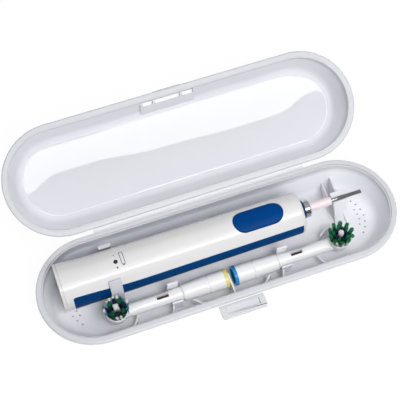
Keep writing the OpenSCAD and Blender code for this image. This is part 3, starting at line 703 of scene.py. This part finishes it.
def make_ribs():
    """The low ribs on the tray's floor; the one between the heads stops short of the handle."""
    ribs = from_solid("tray_ribs_moulded", "tray_ribs", 0)
    above = PANEL_Z + 0.02
    combine(ribs, [block("trim", (-2, -15.0, above), (2, -6, 1), in_base),
                   block("trim", (-63.5, -30, above), (-56.5, -19, 1), in_base)])
    x, (r0, r1) = -HEAD_X[-1] - HEAD_LEN, BOW_R
    bow = arc(x, HEAD_Y, r1, -70, -6, 24) + arc(x, HEAD_Y, r0, -6, -70, 24)
    bow = keep_inside(prism("bow", bow, above - 0.4, -14.0, in_base))
    combine(ribs, [bow], "UNION")
    dress(ribs, (0.25,), CASE, "base", "case_plastic", "tray_ribs")


def make_tab():
    """The tab that stands behind the handle."""
    tab = block("handle_back_tab", (TAB_X[0], TAB_Y[0], PANEL_Z - 0.5),
                (TAB_X[1], TAB_Y[1], TAB_TOP), in_base)
    keep_inside(tab)
    # painted shade: the tab takes the latch's darker white for the shade on its face
    dress(tab, (0.5,), LATCH, "base", "case_plastic", "back_tab")


def blade(x0, y0, z0, x1, y1, z1, thick=0.9):
    """An upright plate on the floor between two places, its top edge running from z0 to z1."""
    t = Vector((y1 - y0, x0 - x1)).normalized() * (thick / 2)
    verts = []
    for x, y, z in ((x0, y0, z0), (x1, y1, z1)):
        for s in (-1, 1):
            verts += [(x + s * t.x, y + s * t.y, h) for h in (-HALF_H, z)]
    faces = [(0, 4, 5, 1), (2, 3, 7, 6), (1, 5, 7, 3), (0, 2, 6, 4), (0, 1, 3, 2), (4, 6, 7, 5)]
    return make_mesh("blade", verts, faces, in_base)


def make_cradle():
    """The saddle under the end of the neck, with its webs to the wall and a gusset in front."""
    x0, x1, top, y = NECK_X1 + 1.6, NECK_X1 + 10.6, GRIP_Z - HALF_H - 0.3, GRIP_Y
    outline = [(y - 10.2, -HALF_H), (y - 8.2, -HALF_H), (y - 0.4, top - 2), (y + 3.4, top - 2),
               (y + 3.4, -HALF_H), (y + 5.4, -HALF_H), (y + 5.4, top), (y - 2, top)]
    cradle = prism("neck_saddle", outline, x0, x1, lambda p, q, x: in_base(x, p, q))
    combine(cradle, [blade(x0 + 4.2, y + 4.6, top - 0.3, x0 + 8.3, 31.6, -13.2),
                     blade(x0 - 1.8, y + 4.2, top - 0.6, x0 + 2.4, 31.0, -17.2),
                     blade(x0 + 5.2, y - 3.0, -9.3, x0 + 8.4, y - 13.4, -20.4, 1.1),
                     block("foot", (x0 - 2.2, y + 3.5, -HALF_H), (x0 + 1, y + 5.3, -9), in_base)],
            "UNION")
    keep_inside(cradle)
    r, ends = SEAT_R, (x0 - 6, x1 + 6)
    seat = turned("seat", [(0, ends[0]), (r, ends[0]), (r, ends[1]), (0, ends[1])],
                  lambda a, b, c: (a, GRIP_Y + b, GRIP_Z + c), 32)
    way = block("way", (ends[0], y - r, GRIP_Z - HALF_H), (ends[1], y + r, 10), in_base)
    combine(cradle, [seat, way])
    dress(cradle, (0.3,), CASE, "base", "case_plastic", "neck_cradle")


TWIST = ((-104, 0.007), (-96, 0.0013), (-88, -0.003), (-74, -0.0033), (-54, -0.0033),
         (-20, 0.001), (8, 0.0017), (29, 0.003), (73, 0.003), (81, 0.0005), (89, -0.004),
         (97, -0.0065), (106, -0.0065))


def twist(x):
    """How far the panel leans across the lid, at a place along it."""
    for (x0, v0), (x1, v1) in zip(TWIST, TWIST[1:]):
        if x <= x1:
            break
    return v0 + (v1 - v0) * ease(ramp(x, x0, x1))


def in_lid_moulded(x, y, z):
    """The lid's panel isn't quite flat: moulding leaves it leaning by a fraction of a degree."""
    apart = hypot(max(0.0, abs(x) - STRAIGHT), y)
    if abs(z - PANEL_Z) < 0.001 and apart < COR_C + 0.01:
        z -= twist(x) * y
    return in_lid(x, y, z)


def make_lid():
    """The lid's wall and rim, with its tongue, and the panel with a groove round it."""
    tongue = rounded([(END_R - 1.6, 0), (FLAT_X - 0.2, 0), (FLAT_X - 0.25, 0.5),
                      (LIP_X + 0.05, 0.5), (LIP_X, 0.2)], [0, 0.12, 0.15, 0.18, 0], 3)
    g0, g1, sunk = GROOVE_R, GROOVE_R + GROOVE_W, PANEL_Z - GROOVE_T
    corner = [p for p in inside_section()[:-1] if p[0] > g1 + 0.1]
    edge_z = COR_Z - sqrt(IN_C ** 2 - (g1 - COR_C) ** 2)
    groove = [(g1 + 0.06, edge_z), (g1 - 0.04, edge_z - 0.1), (g1 - 0.1, sunk),
              (g0 + 0.1, sunk), (g0 + 0.04, PANEL_Z - 0.08), (g0 - 0.06, PANEL_Z)]
    panel = [(r, PANEL_Z) for r in (COR_C, 20, 15, 10, 5, 0)]
    lid = pan("lid_shell_moulded", outside_section() + tongue + corner + groove + panel,
              in_lid_moulded, top=False)
    c, s = cos(-DRAFT), sin(-DRAFT)

    def on_wall(x, y, z):
        return in_lid(x, IN_R + y * c - z * s, IN_Z + y * s + z * c)

    pad = block("pad", (-PAD_W, -1.6, -5.6), (PAD_W, 1.0, 9.0), on_wall)
    bead = block("bead", (-BEAD_W, END_R - 0.5, -BAND), (BEAD_W, END_R + 0.5, -BAND + 1.3), in_lid)
    combine(lid, [pad, bead], "UNION")
    y0, y1, z0, z1 = LIP_X - 2.4, LIP_X - 0.1, -HALF_H - 1, LIP_Z + 0.5
    combine(lid, [block("slot", (x0, y0, z0), (x1, y1, z1), in_lid) for x0, x1 in WINDOWS])
    dress(lid, (), LID_CASE, "lid", "case_plastic", "lid_shell")


make_base_tray()
copied("head_clip_pair", "head_clips", (0.4,), CASE, "base", "case_plastic")
copied("handle_arm", "front_arm", (0.45,), ARM_PAINTED_SHADE, "base", "case_plastic")
make_ribs()
make_tab()
make_cradle()
copied("base_fold_strip", "base_hinge_strip", (0.1,), FOLD, "base", "fold_plastic")
copied("latch_flap_moulded", "latch_flap", (0.3,), LATCH, "latch", "case_plastic")
copied("lid_fold_strip", "lid_hinge_strip", (0.1,), FOLD, "lid", "fold_plastic")
make_lid()


# -------- handle
def grip_rad(x):
    return GRIP_R0 + (GRIP_R1 - GRIP_R0) * (x - FOOT_X) / (SHOULDER_X - FOOT_X - SHOULDER_R)


def pad_edges(side, x):
    """The two angles, in degrees, between which the rubber lies at a place along the handle."""
    if side > 0:
        return -PAD_HALF, PAD_TOPS[1]
    flare = PAD_FLARE * ease(ramp(x, -52, -98))
    corner = 1 - sqrt(max(0.0, 1 - max(0.0, 1 - (x - PAD_X0) / 1.4) ** 2))
    return PAD_TOPS[0] - flare + 5 * corner, 180 + PAD_HALF - 2 * corner


def pad_shape(name, side, grow, spare, depth, lift=0.0):
    """A curved plate on the side of the handle.

    grow widens it by some degrees each way, and spare lengthens it by some millimetres."""
    x0, x1 = PAD_X0 - spare, PAD_X1 + spare
    verts, faces = [], []
    xs = [x0 + d for d in (0, 0.12, 0.3, 0.55, 0.9)]
    xs += [x0 + 1.5 + (x1 - x0 - 1.5) * k / 40 for k in range(41)]
    n, m = 24, len(xs) - 1
    for i in range(n + 1):
        for x in xs:
            low, high = pad_edges(side, x)
            a = radians(low - grow + (high - low + 2 * grow) * i / n)
            r = grip_rad(min(x, SHOULDER_X - SHOULDER_R))
            for q in (r - depth, r + lift):
                verts.append((x, q * cos(a), q * sin(a)))
    w = 2 * (m + 1)
    for i in range(n):
        for k in range(m):
            a = i * w + 2 * k
            b = a + w
            faces += [(a, a + 2, b + 2, b), (a + 1, b + 1, b + 3, a + 3)]
    for k in range(m):
        for a in (2 * k, n * w + 2 * k):
            faces.append((a, a + 1, a + 3, a + 2))
    for i in range(n):
        for a in (i * w, i * w + 2 * m):
            faces.append((a, a + w, a + w + 1, a + 1))
    return make_mesh(name, verts, faces, in_worn_grip)


def pill_line(inset):
    """The button's outline, drawn in by some millimetres."""
    r, half, n = BUTTON_WID / 2 - inset, (BUTTON_LEN - BUTTON_WID) / 2, 24
    return arc(half, 0, r, -90, 90, n) + arc(-half, 0, r, 90, 270, n)


def make_handle():
    x0, x1 = FOOT_X + FOOT_T + 0.1, SHOULDER_X
    end = rounded([(SHELL_R, x0), (grip_rad(x0 - 0.1), x0), (grip_rad(x0 + 7.9), x0 + 7.9)],
                  [0, 0.25, 0], 3)[:-1]
    shell = turned("handle_shell_moulded", end + [(grip_rad(x), x) for x in range(-95, 56, 5)] +
                   arc(GRIP_R1 - SHOULDER_R, x1 - SHOULDER_R, SHOULDER_R, 0, 90, 10) +
                   [(3.8, x1), (3.8, x1 - 3), (9.4, x1 - 3), (SHELL_R, x1 - 6)],
                   in_worn_grip, 128)
    tools = [pad_shape("cut", s, 0.1, 0.05, PAD_T, 1.0) for s in (-1, 1)]
    outline = [(BUTTON_X + x, y) for x, y in pill_line(-0.1)]
    tools.append(prism("cut", outline, 8.5, 20.0, in_worn_grip))
    tools.append(prism("cut", circle(LAMP_X, 0, LAMP_R, 24), 8, 20, in_grip))
    combine(shell, tools)
    dress(shell, (0.07, 2, 40), SHELL, "handle", "handle_plastic", "handle_shell")
    for side, node in ((-1, "front_grip"), (1, "back_grip")):
        pad = pad_shape(node + "_rubber", side, -0.1, 0, PAD_T)
        dress(pad, (0.1, 2, 40), GRIP, "handle", "grip_rubber", node)


def make_foot():
    x, r, top = FOOT_X, GRIP_R0, FOOT_X + FOOT_T
    rim = rounded([(3.1, x), (r, x), (r - 0.03, top - 0.8), (r - 0.25, top - 0.35),
                   (r - 0.25, top), (SHELL_R, top)], [0, 0.8, 0.2, 0.1, 0.1, 0], 5)
    section = [(3.1, x + 13.5), (3.1, x + 0.4), (3.35, x)] + rim[1:] + \
        [(SHELL_R, x + 5.5), (11, x + 5.5), (11, x + 3), (4.3, x + 3), (4.3, x + 14.7),
         (0, x + 14.7), (0, x + 13.5)]
    foot = turned("foot_cap_moulded", section[::-1], in_worn_grip, 128)
    dress(foot, (), FOOT, "handle", "foot_plastic", "foot_cap")


def make_button():
    """A pill that follows the handle's curve, its edge rolled over."""
    verts = [in_grip(BUTTON_X + x, y, BUTTON_FLOOR) for x, y in pill_line(0.35)]
    count, faces = len(verts), []
    insets = [0.0, 0.12, 0.3, 0.55, 0.9, 1.6, 3.0, 5.0, 7.2]
    for inset in insets:
        roll = BUTTON_ROLL * max(0.0, 1 - inset / 0.9) ** 2.2
        for x, y in pill_line(inset):
            top = sqrt((grip_rad(BUTTON_X + x) + BUTTON_RISE) ** 2 - y * y)
            verts.append(in_worn_grip(BUTTON_X + x, y, top - roll))
    for k in range(len(insets)):
        for i in range(count):
            a, b = k * count + i, k * count + (i + 1) % count
            faces.append((a, b, b + count, a + count))
    faces.append(list(range(count))[::-1])
    faces.append([len(insets) * count + i for i in range(count)])
    button = make_mesh("power_button_cap", verts, faces)
    dress(button, (), BUTTON, "button", "button_rubber", "power_button")


def make_neck():
    x = SHOULDER_X
    x1, x2 = x + COLLAR_T, x + COLLAR_T + CHROME_T
    collar = turned("collar_ring_blue", rounded(
        [(CORE_R, x), (COLLAR_R, x), (COLLAR_R, x1), (CORE_R, x1)], [0, 0.2, 0.3, 0], 3), in_grip)
    dress(collar, (), COLLAR, "handle", "collar_plastic", "collar")
    ring = turned("neck_ring_chrome", rounded(
        [(CORE_R, x1), (CHROME_R - 0.25, x1), (CHROME_R, x1 + 0.3), (CHROME_R, x2 - 0.9),
         (CHROME_R - 0.9, x2), (CORE_R, x2)], [0, 0.1, 0.2, 0.8, 0.4, 0], 5), in_grip)
    dress(ring, (), CHROME, "handle", "chrome", "chrome_ring")
    inside = [(NECK_HOLE, x - 5.5), (5.0, x - 5.5), (5.0, x - 3), (4.0, x - 3), (4.0, x),
              (CORE_R, x), (CORE_R, x2), (NECK_R, x2)]
    end = arc(NECK_R - 0.4, NECK_X1 - 0.4, 0.4, 0, 90, 4) + \
        [(1.75, NECK_X1), (1.75, NECK_X1 - 1.2), (NECK_HOLE, NECK_X1 - 1.2)]
    neck = turned("neck_sleeve_moulded", inside + end, in_grip, 64)
    dress(neck, (), NECK, "handle", "neck_plastic", "neck_sleeve")


make_handle()
make_foot()
make_button()
make_neck()
copied("drive_shaft_ground", "drive_shaft", (0.12, 2, 40), STEEL, "shaft", "shaft_steel")
copied("charge_lamp_lens", "charge_lamp", (0.12, 2, 40), LAMP, "handle", "lamp_plastic")


# -------- brush heads
def make_head(side, label):
    place, r, s, end = in_head(side), HEAD_R, SLEEVE_X, HEAD_LEN
    body = turned(label + "_head_body", rounded(
        [(0, RING_W), (r, RING_W), (r, s - 0.45), (5.65, s - 0.2), (5.65, s + 0.2), (6.1, s + 0.45),
         (5.9, 20), (5.45, 30.1), (4.4, 30.9), (4.2, 36), (4.3, end - 11), (4.2, end - 4),
         (3.4, end + 3), (0, end + 3)],
        [0, 0.2, 0.2, 0, 0, 0.2, 4, 0.5, 0.5, 8, 8, 2, 1.2, 0]), place, 72)
    cup = turned("cup", [(0, 0), (4.6, 0), (5.9, 0.5), (r, 1.4), (r, 4.4), (0, 4.4)],
                 lambda x, y, z: place(end - z, y, x - CUP_DROP), 72)
    combine(body, [cup], "UNION")
    bore = turned("bore", [(0, -1), (BORE_R, -1), (BORE_R, 19.2), (0, 19.2)], place, 48)
    tunnel = turned("tunnel", [(0, 17.2), (LINK_R, 17.2), (LINK_R, end - 8), (0, end - 8)],
                    place, 48)
    combine(body, [block("clear", (end - 7.3, -9, 1.2), (end + 12, 9, 9), place), bore, tunnel,
                   block("slot", (SLOT_X[0], -SLOT_HALF, 0), (SLOT_X[1], SLOT_HALF, 8), place)])
    dress(body, (0.12, 2, 38), HEAD, label + "_brush_head", "head_plastic", label + "_head")
    ring = turned(label + "_colour_ring", rounded(
        [(5.2, 0), (RING_R, 0), (RING_R, RING_W), (5.2, RING_W)], [0, 0.4, 0.25, 0]), place, 72)
    tone, slot = (YELLOW, "yellow_plastic") if side < 0 else (BLUE, "blue_plastic")
    dress(ring, (), tone, label + "_brush_head", slot, label + "_ring")


for side, label in ((-1, "left"), (1, "right")):
    make_head(side, label)
    copied(label + "_brush_disc", label + "_plate", (0.4, 3, 38), HEAD_PLATE, label + "_brush",
           "plate_plastic")


# -------- bristles
FILAMENTS = (("Filaments per mm2", 22.0), ("Filament radius", 0.11), ("Filament length", 9.0),
             ("Spread", 0.035), ("Length change", 0.02))


def bristle_tree(material):
    """Scatters leaning filaments over the tuft footprints."""
    tree = bpy.data.node_groups.new("tuft_of_filaments", "GeometryNodeTree")
    for way in ("INPUT", "OUTPUT"):
        tree.interface.new_socket("Geometry", in_out=way, socket_type="NodeSocketGeometry")
    for name, value in FILAMENTS:
        socket = tree.interface.new_socket(name, in_out="INPUT", socket_type="NodeSocketFloat")
        socket.default_value = value
    net = Net(tree)
    given = net.node("NodeGroupInput")
    count, radius, length, spread, change = (given.beside(name) for name, _ in FILAMENTS)
    spots = net.node("GeometryNodeDistributePointsOnFaces", {"distribute_method": "RANDOM"},
                     {"Mesh": given, "Density": count * 1e6, "Seed": 11})
    long = length * MM
    strand = net.node("GeometryNodeMeshCylinder", None,
                      {"Vertices": 6, "Radius": radius * MM, "Depth": long})
    lift = net.node("ShaderNodeCombineXYZ", None, {2: long * 0.5})
    strand = net.node("GeometryNodeTransform", None, {"Geometry": strand, "Translation": lift})
    least, most = (net.node("ShaderNodeVectorMath", {"operation": "SCALE"},
                            {0: way, "Scale": spread}) for way in ((-1, -1, 0), (1, 1, 0)))
    own = net.node("GeometryNodeInputNamedAttribute", {"data_type": "FLOAT_VECTOR"},
                   {"Name": "lean"})
    lean = net.node("FunctionNodeRandomValue", {"data_type": "FLOAT_VECTOR"}, [least, most])
    lean = net.node("ShaderNodeVectorMath", {"operation": "ADD"}, [lean, own])
    size = net.node("FunctionNodeRandomValue", {"data_type": "FLOAT"},
                    {2: 1 - change, 3: 1 + change}, 1)
    lean = net.node("FunctionNodeEulerToRotation", None, [lean])
    size = net.node("ShaderNodeCombineXYZ", None, [1.0, 1.0, size])
    tuft = net.node("GeometryNodeInstanceOnPoints", None,
                    {"Points": spots, "Instance": strand, "Rotation": lean, "Scale": size})
    tuft = net.node("GeometryNodeRealizeInstances", None, [tuft])
    tuft = net.node("GeometryNodeSetMaterial", None, {"Geometry": tuft, "Material": material})
    net.node("NodeGroupOutput", None, [tuft])
    return tree


def make_bristles(side, label, kind, tufts, material, length, *replaced):
    """tufts: (distance from the centre, angle, footprint length and width, lean outwards)"""
    place = in_head(side)
    bm = bmesh.new()
    layer = bm.verts.layers.float_vector.new("lean")
    for dist, ang, foot_len, foot_wid, lean in tufts:
        a = radians(ang)
        c, s = cos(a), sin(a)
        cx, cy = HEAD_LEN + dist * c, dist * s
        ring = []
        for u, v in circle(0, 0, 0.5, 12):
            u, v = u * foot_len, v * foot_wid
            spot = place(cx + v * c - u * s, cy + v * s + u * c, TUFT_Z)
            vert = bm.verts.new(Vector(spot) * MM)
            # leaning out is a turn about the tangent
            vert[layer] = (-side * s * lean, side * c * lean, 0)
            ring.append(vert)
        bm.faces.new(ring)
    bmesh.ops.recalc_face_normals(bm, faces=bm.faces)
    for f in bm.faces:
        if f.normal.z < 0:
            f.normal_flip()
    obj = written(label + "_bristles_" + kind, bm)
    tree = bristle_tree(material)
    mod = obj.modifiers.new("filaments", "NODES")
    mod.node_group = tree
    ids = {item.name: item.identifier for item in tree.interface.items_tree
           if item.in_out == "INPUT"}
    mod[ids["Filament length"]] = length
    settle(obj)
    obj.data.shade_smooth()
    dress(obj, None, material, label + "_brush", label + "_nylon", *replaced)


def tufts(dist, angles, length, width, lean=0.0):
    return [(dist, a, length, width, lean) for a in angles]


def brush(side, label, groups):
    """Tufts in rings, the outer ones leaning out; the first group takes the solid's place."""
    replaced = (label + "_bristles",)
    for kind, rings, material, length in groups:
        make_bristles(side, label, kind, rings, material, length, *replaced)
        replaced = ()


brush(-1, "left", (
    ("green", tufts(3.7, (45, 135), 2.8, 3.1, 0.2) + tufts(3.7, (225, 315), 2.8, 3.1, 0.14) +
     tufts(5.8, (62, 118), 1.4, 1.3, 0.24), DEEP_GREEN, 8.6),
    ("blue", tufts(3.7, (0, 90, 180), 2.5, 2.7, 0.18) + tufts(3.6, (270,), 2.5, 2.7, 0.13) +
     tufts(5.7, (45, 135), 1.3, 1.2, 0.22), NAVY, 8.2),
    ("teal", tufts(5.7, (155, 172, 20, 340), 1.6, 1.5, 0.22) +
     tufts(5.6, (208, 232), 1.5, 1.4, 0.11), TEAL, 8.4),
    ("white", tufts(5.8, (0, 78, 98, 190), 1.5, 1.3, 0.22) +
     tufts(5.7, (248, 270, 292, 314), 1.5, 1.3, 0.09) + tufts(0.01, (45, 135), 1.6, 4.3),
     WHITE, 8.9)))
brush(1, "right", (
    ("green", tufts(5.1, range(0, 360, 36), 2.4, 2.5, 0.26) +
     tufts(3.5, range(18, 378, 72), 1.8, 2.0, 0.16), GREEN, 9.0),
    ("blue", tufts(3.0, range(54, 414, 72), 2.2, 2.0, 0.12), NAVY, 8.0),
    ("white", tufts(0.01, (0,), 3.0, 3.0), WHITE, 9.6),
    ("white_short", tufts(6.1, (225, 255, 285, 315), 1.8, 1.1, 0.2), WHITE, 8.0)))


# -------- printed marks
FILM = 0.03  # thickness of the print, millimetres
MARK_X, MARK_Y, MARK_LEN, MARK_WID, MARK_LINE = -62, 1.5, 2.5, 9.0, 0.4


def battery_line(inset, cuts=12):
    """The battery sign's rounded box, drawn in by some millimetres, its long sides cut up."""
    lx, ly = MARK_LEN / 2 - inset, MARK_WID / 2 - inset
    corners = ((-lx, -ly), (lx, -ly), (lx, ly), (-lx, ly))
    box = rounded([(MARK_X + x, MARK_Y + y) for x, y in corners], [0.7 - 0.6 * inset] * 4,
                  closed=True)
    out = []
    for (ax, ay), (bx, by) in zip(box, box[1:] + box[:1]):
        n = cuts if hypot(bx - ax, by - ay) > ly * 2 / 3 else 1
        out += [(ax + (bx - ax) * k / n, ay + (by - ay) * k / n) for k in range(n)]
    return out


def dot(cx, cy, r):
    """A filled spot, drawn as a ring whose hole is nearly closed."""
    return circle(cx, cy, r, 20), circle(cx, cy, 0.02 * r, 20)


def make_mark():
    """A thin printed film on the handle, lying on its curve."""
    verts, faces = [], []
    for outline, inner in ((battery_line(0), battery_line(MARK_LINE)), dot(MARK_X, -3.25, 0.55),
                           dot(LAMP_X, 4.9, 0.38), dot(-66.4, -3.9, 0.6),
                           [arc(LAMP_X, 0, r, 0, 345, 23) for r in (1.45, 1.12)]):
        base, m = len(verts), len(outline)
        for x, y in outline + inner:
            verts += [(x, y, sqrt((grip_rad(x) + lift) ** 2 - y * y)) for lift in (0.0, FILM)]
        for i in range(m):
            o0, o1 = base + 2 * i, base + 2 * ((i + 1) % m)
            n0, n1 = o0 + 2 * m, o1 + 2 * m
            faces += [(o0 + 1, o1 + 1, n1 + 1, n0 + 1), (o0, n0, n1, o1), (o0, o1, o1 + 1, o0 + 1),
                      (n0, n0 + 1, n1 + 1, n1)]
    dress(make_mesh("battery_mark", verts, faces, in_worn_grip), (), PRINT, "handle",
          "lamp_plastic")


make_mark()


# -------- floor, room
ROOM_COLOUR, PURE = (0.97, 0.98, 1.0, 1), (1, 1, 1, 1)
ROOM_LOW, ROOM_HIGH = 0.03, 0.66  # away from the window side, and towards it
ROOM_AXIS, ROOM_FADE = (-0.2, -0.8, 0.55), (0.0, 1.0)
MIRROR_LOW, MIRROR_HIGH = 0.05, 0.43  # the same room as shiny parts see it
MIRROR_FADE = (0.1, 0.8)
FLOOR_PALE, FLOOR_SEEN, FLOOR_GLOW, FLOOR_HALF = 0.7, 0.92, 1.04, 4
FLOOR_EDGE = (0.0205, 0.0235)  # where the case's shade ends, metres from its middle line


def make_floor():
    """A white floor; rays from the camera see it glow, except close under the case."""
    mesh = bpy.data.meshes.new("floor")
    k = FLOOR_HALF
    mesh.from_pydata([(-k, -k, 0), (k, -k, 0), (k, k, 0), (-k, k, 0)], [], [(0, 1, 2, 3)])
    floor = add_object("floor", mesh)
    ink = Ink("floor_white")
    diffuse = ink.node("ShaderNodeBsdfDiffuse", None, {"Color": (*[FLOOR_PALE] * 3, 1)})
    glow = ink.node("ShaderNodeEmission", None, {"Color": PURE, "Strength": FLOOR_GLOW})
    ray = ink.node("ShaderNodeLightPath", output="Is Camera Ray")
    seen = ray.high(ray.beside("Is Glossy Ray")).high(ray.beside("Is Transmission Ray"))
    x, y, _ = ink.axes()
    clear = from_middle(x, y).step(*FLOOR_EDGE)
    mesh.materials.append(ink.finish(ink.node(
        "ShaderNodeMixShader", None, [seen * clear * FLOOR_SEEN, diffuse, glow])))


def make_room():
    """Soft light from the window side; shiny parts see a room that is bright overhead."""
    world = bpy.data.worlds.new("soft_room")
    bpy.context.scene.world = world
    world.use_nodes = True
    net = Net(world.node_tree)

    def glow(colour, strength):
        return net.node("ShaderNodeBackground", None, [colour, strength])

    def mixed(factor, a, b):
        return net.node("ShaderNodeMixShader", None, [factor, a, b])

    way = net.node("ShaderNodeTexCoord", output="Generated")
    lean = net.node("ShaderNodeVectorMath", {"operation": "DOT_PRODUCT"},
                    [way, Vector(ROOM_AXIS).normalized()], "Value")
    up = net.node("ShaderNodeSeparateXYZ", None, [way], "Z")
    room = mixed(lean.step(*ROOM_FADE), glow(ROOM_COLOUR, ROOM_LOW), glow(ROOM_COLOUR, ROOM_HIGH))
    shine = mixed(up.step(*MIRROR_FADE), glow(ROOM_COLOUR, MIRROR_LOW),
                  glow(ROOM_COLOUR, MIRROR_HIGH))
    ray = net.node("ShaderNodeLightPath", output="Is Camera Ray")
    room = mixed(ray.beside("Is Glossy Ray"), room, shine)
    net.node("ShaderNodeOutputWorld", None, [mixed(ray, room, glow(PURE, 1.0))])


def lamp(name, spot, aim, size, glow, part):
    """A rectangular softbox; glow is its power for each square metre, and part what it lights."""
    data = bpy.data.lights.new(name, "AREA")
    data.shape = "RECTANGLE"
    data.size, data.size_y = size
    data.energy = glow * size[0] * size[1]
    obj = bpy.data.objects.new(name, data)
    obj.visible_glossy, obj.visible_diffuse = part != "plain", part != "shine"
    obj.location = spot
    obj.rotation_euler = (Vector(aim) - Vector(spot)).to_track_quat("-Z", "Y").to_euler()
    bpy.context.scene.collection.objects.link(obj)


make_floor()
make_room()
for row in (
        ("softbox_strip", (0.20, -0.42, 1.0), (0.20, -0.42, 0), (0.90, 0.10), 9.0, "both"),
        ("softbox_key", (0.2, -0.45, 1.0), (0.0, 0.02, 0), (0.6, 0.35), 15.8, "plain"),
        ("softbox_low", (0.1, -0.5, 0.6), (0.0, 0.03, 0), (0.4, 0.4), 12.2, "plain"),
        ("softbox_back", (0.1, 0.6, 0.8), (0.0, 0.02, 0), (0.5, 0.3), 14.0, "plain"),
        ("softbox_front", (0.16, -0.77, 1.0), (0.16, 0.0, 0.03), (0.95, 0.24), 20.0, "shine")):
    lamp(*row)

bpy.context.scene.view_settings.view_transform = "Standard"
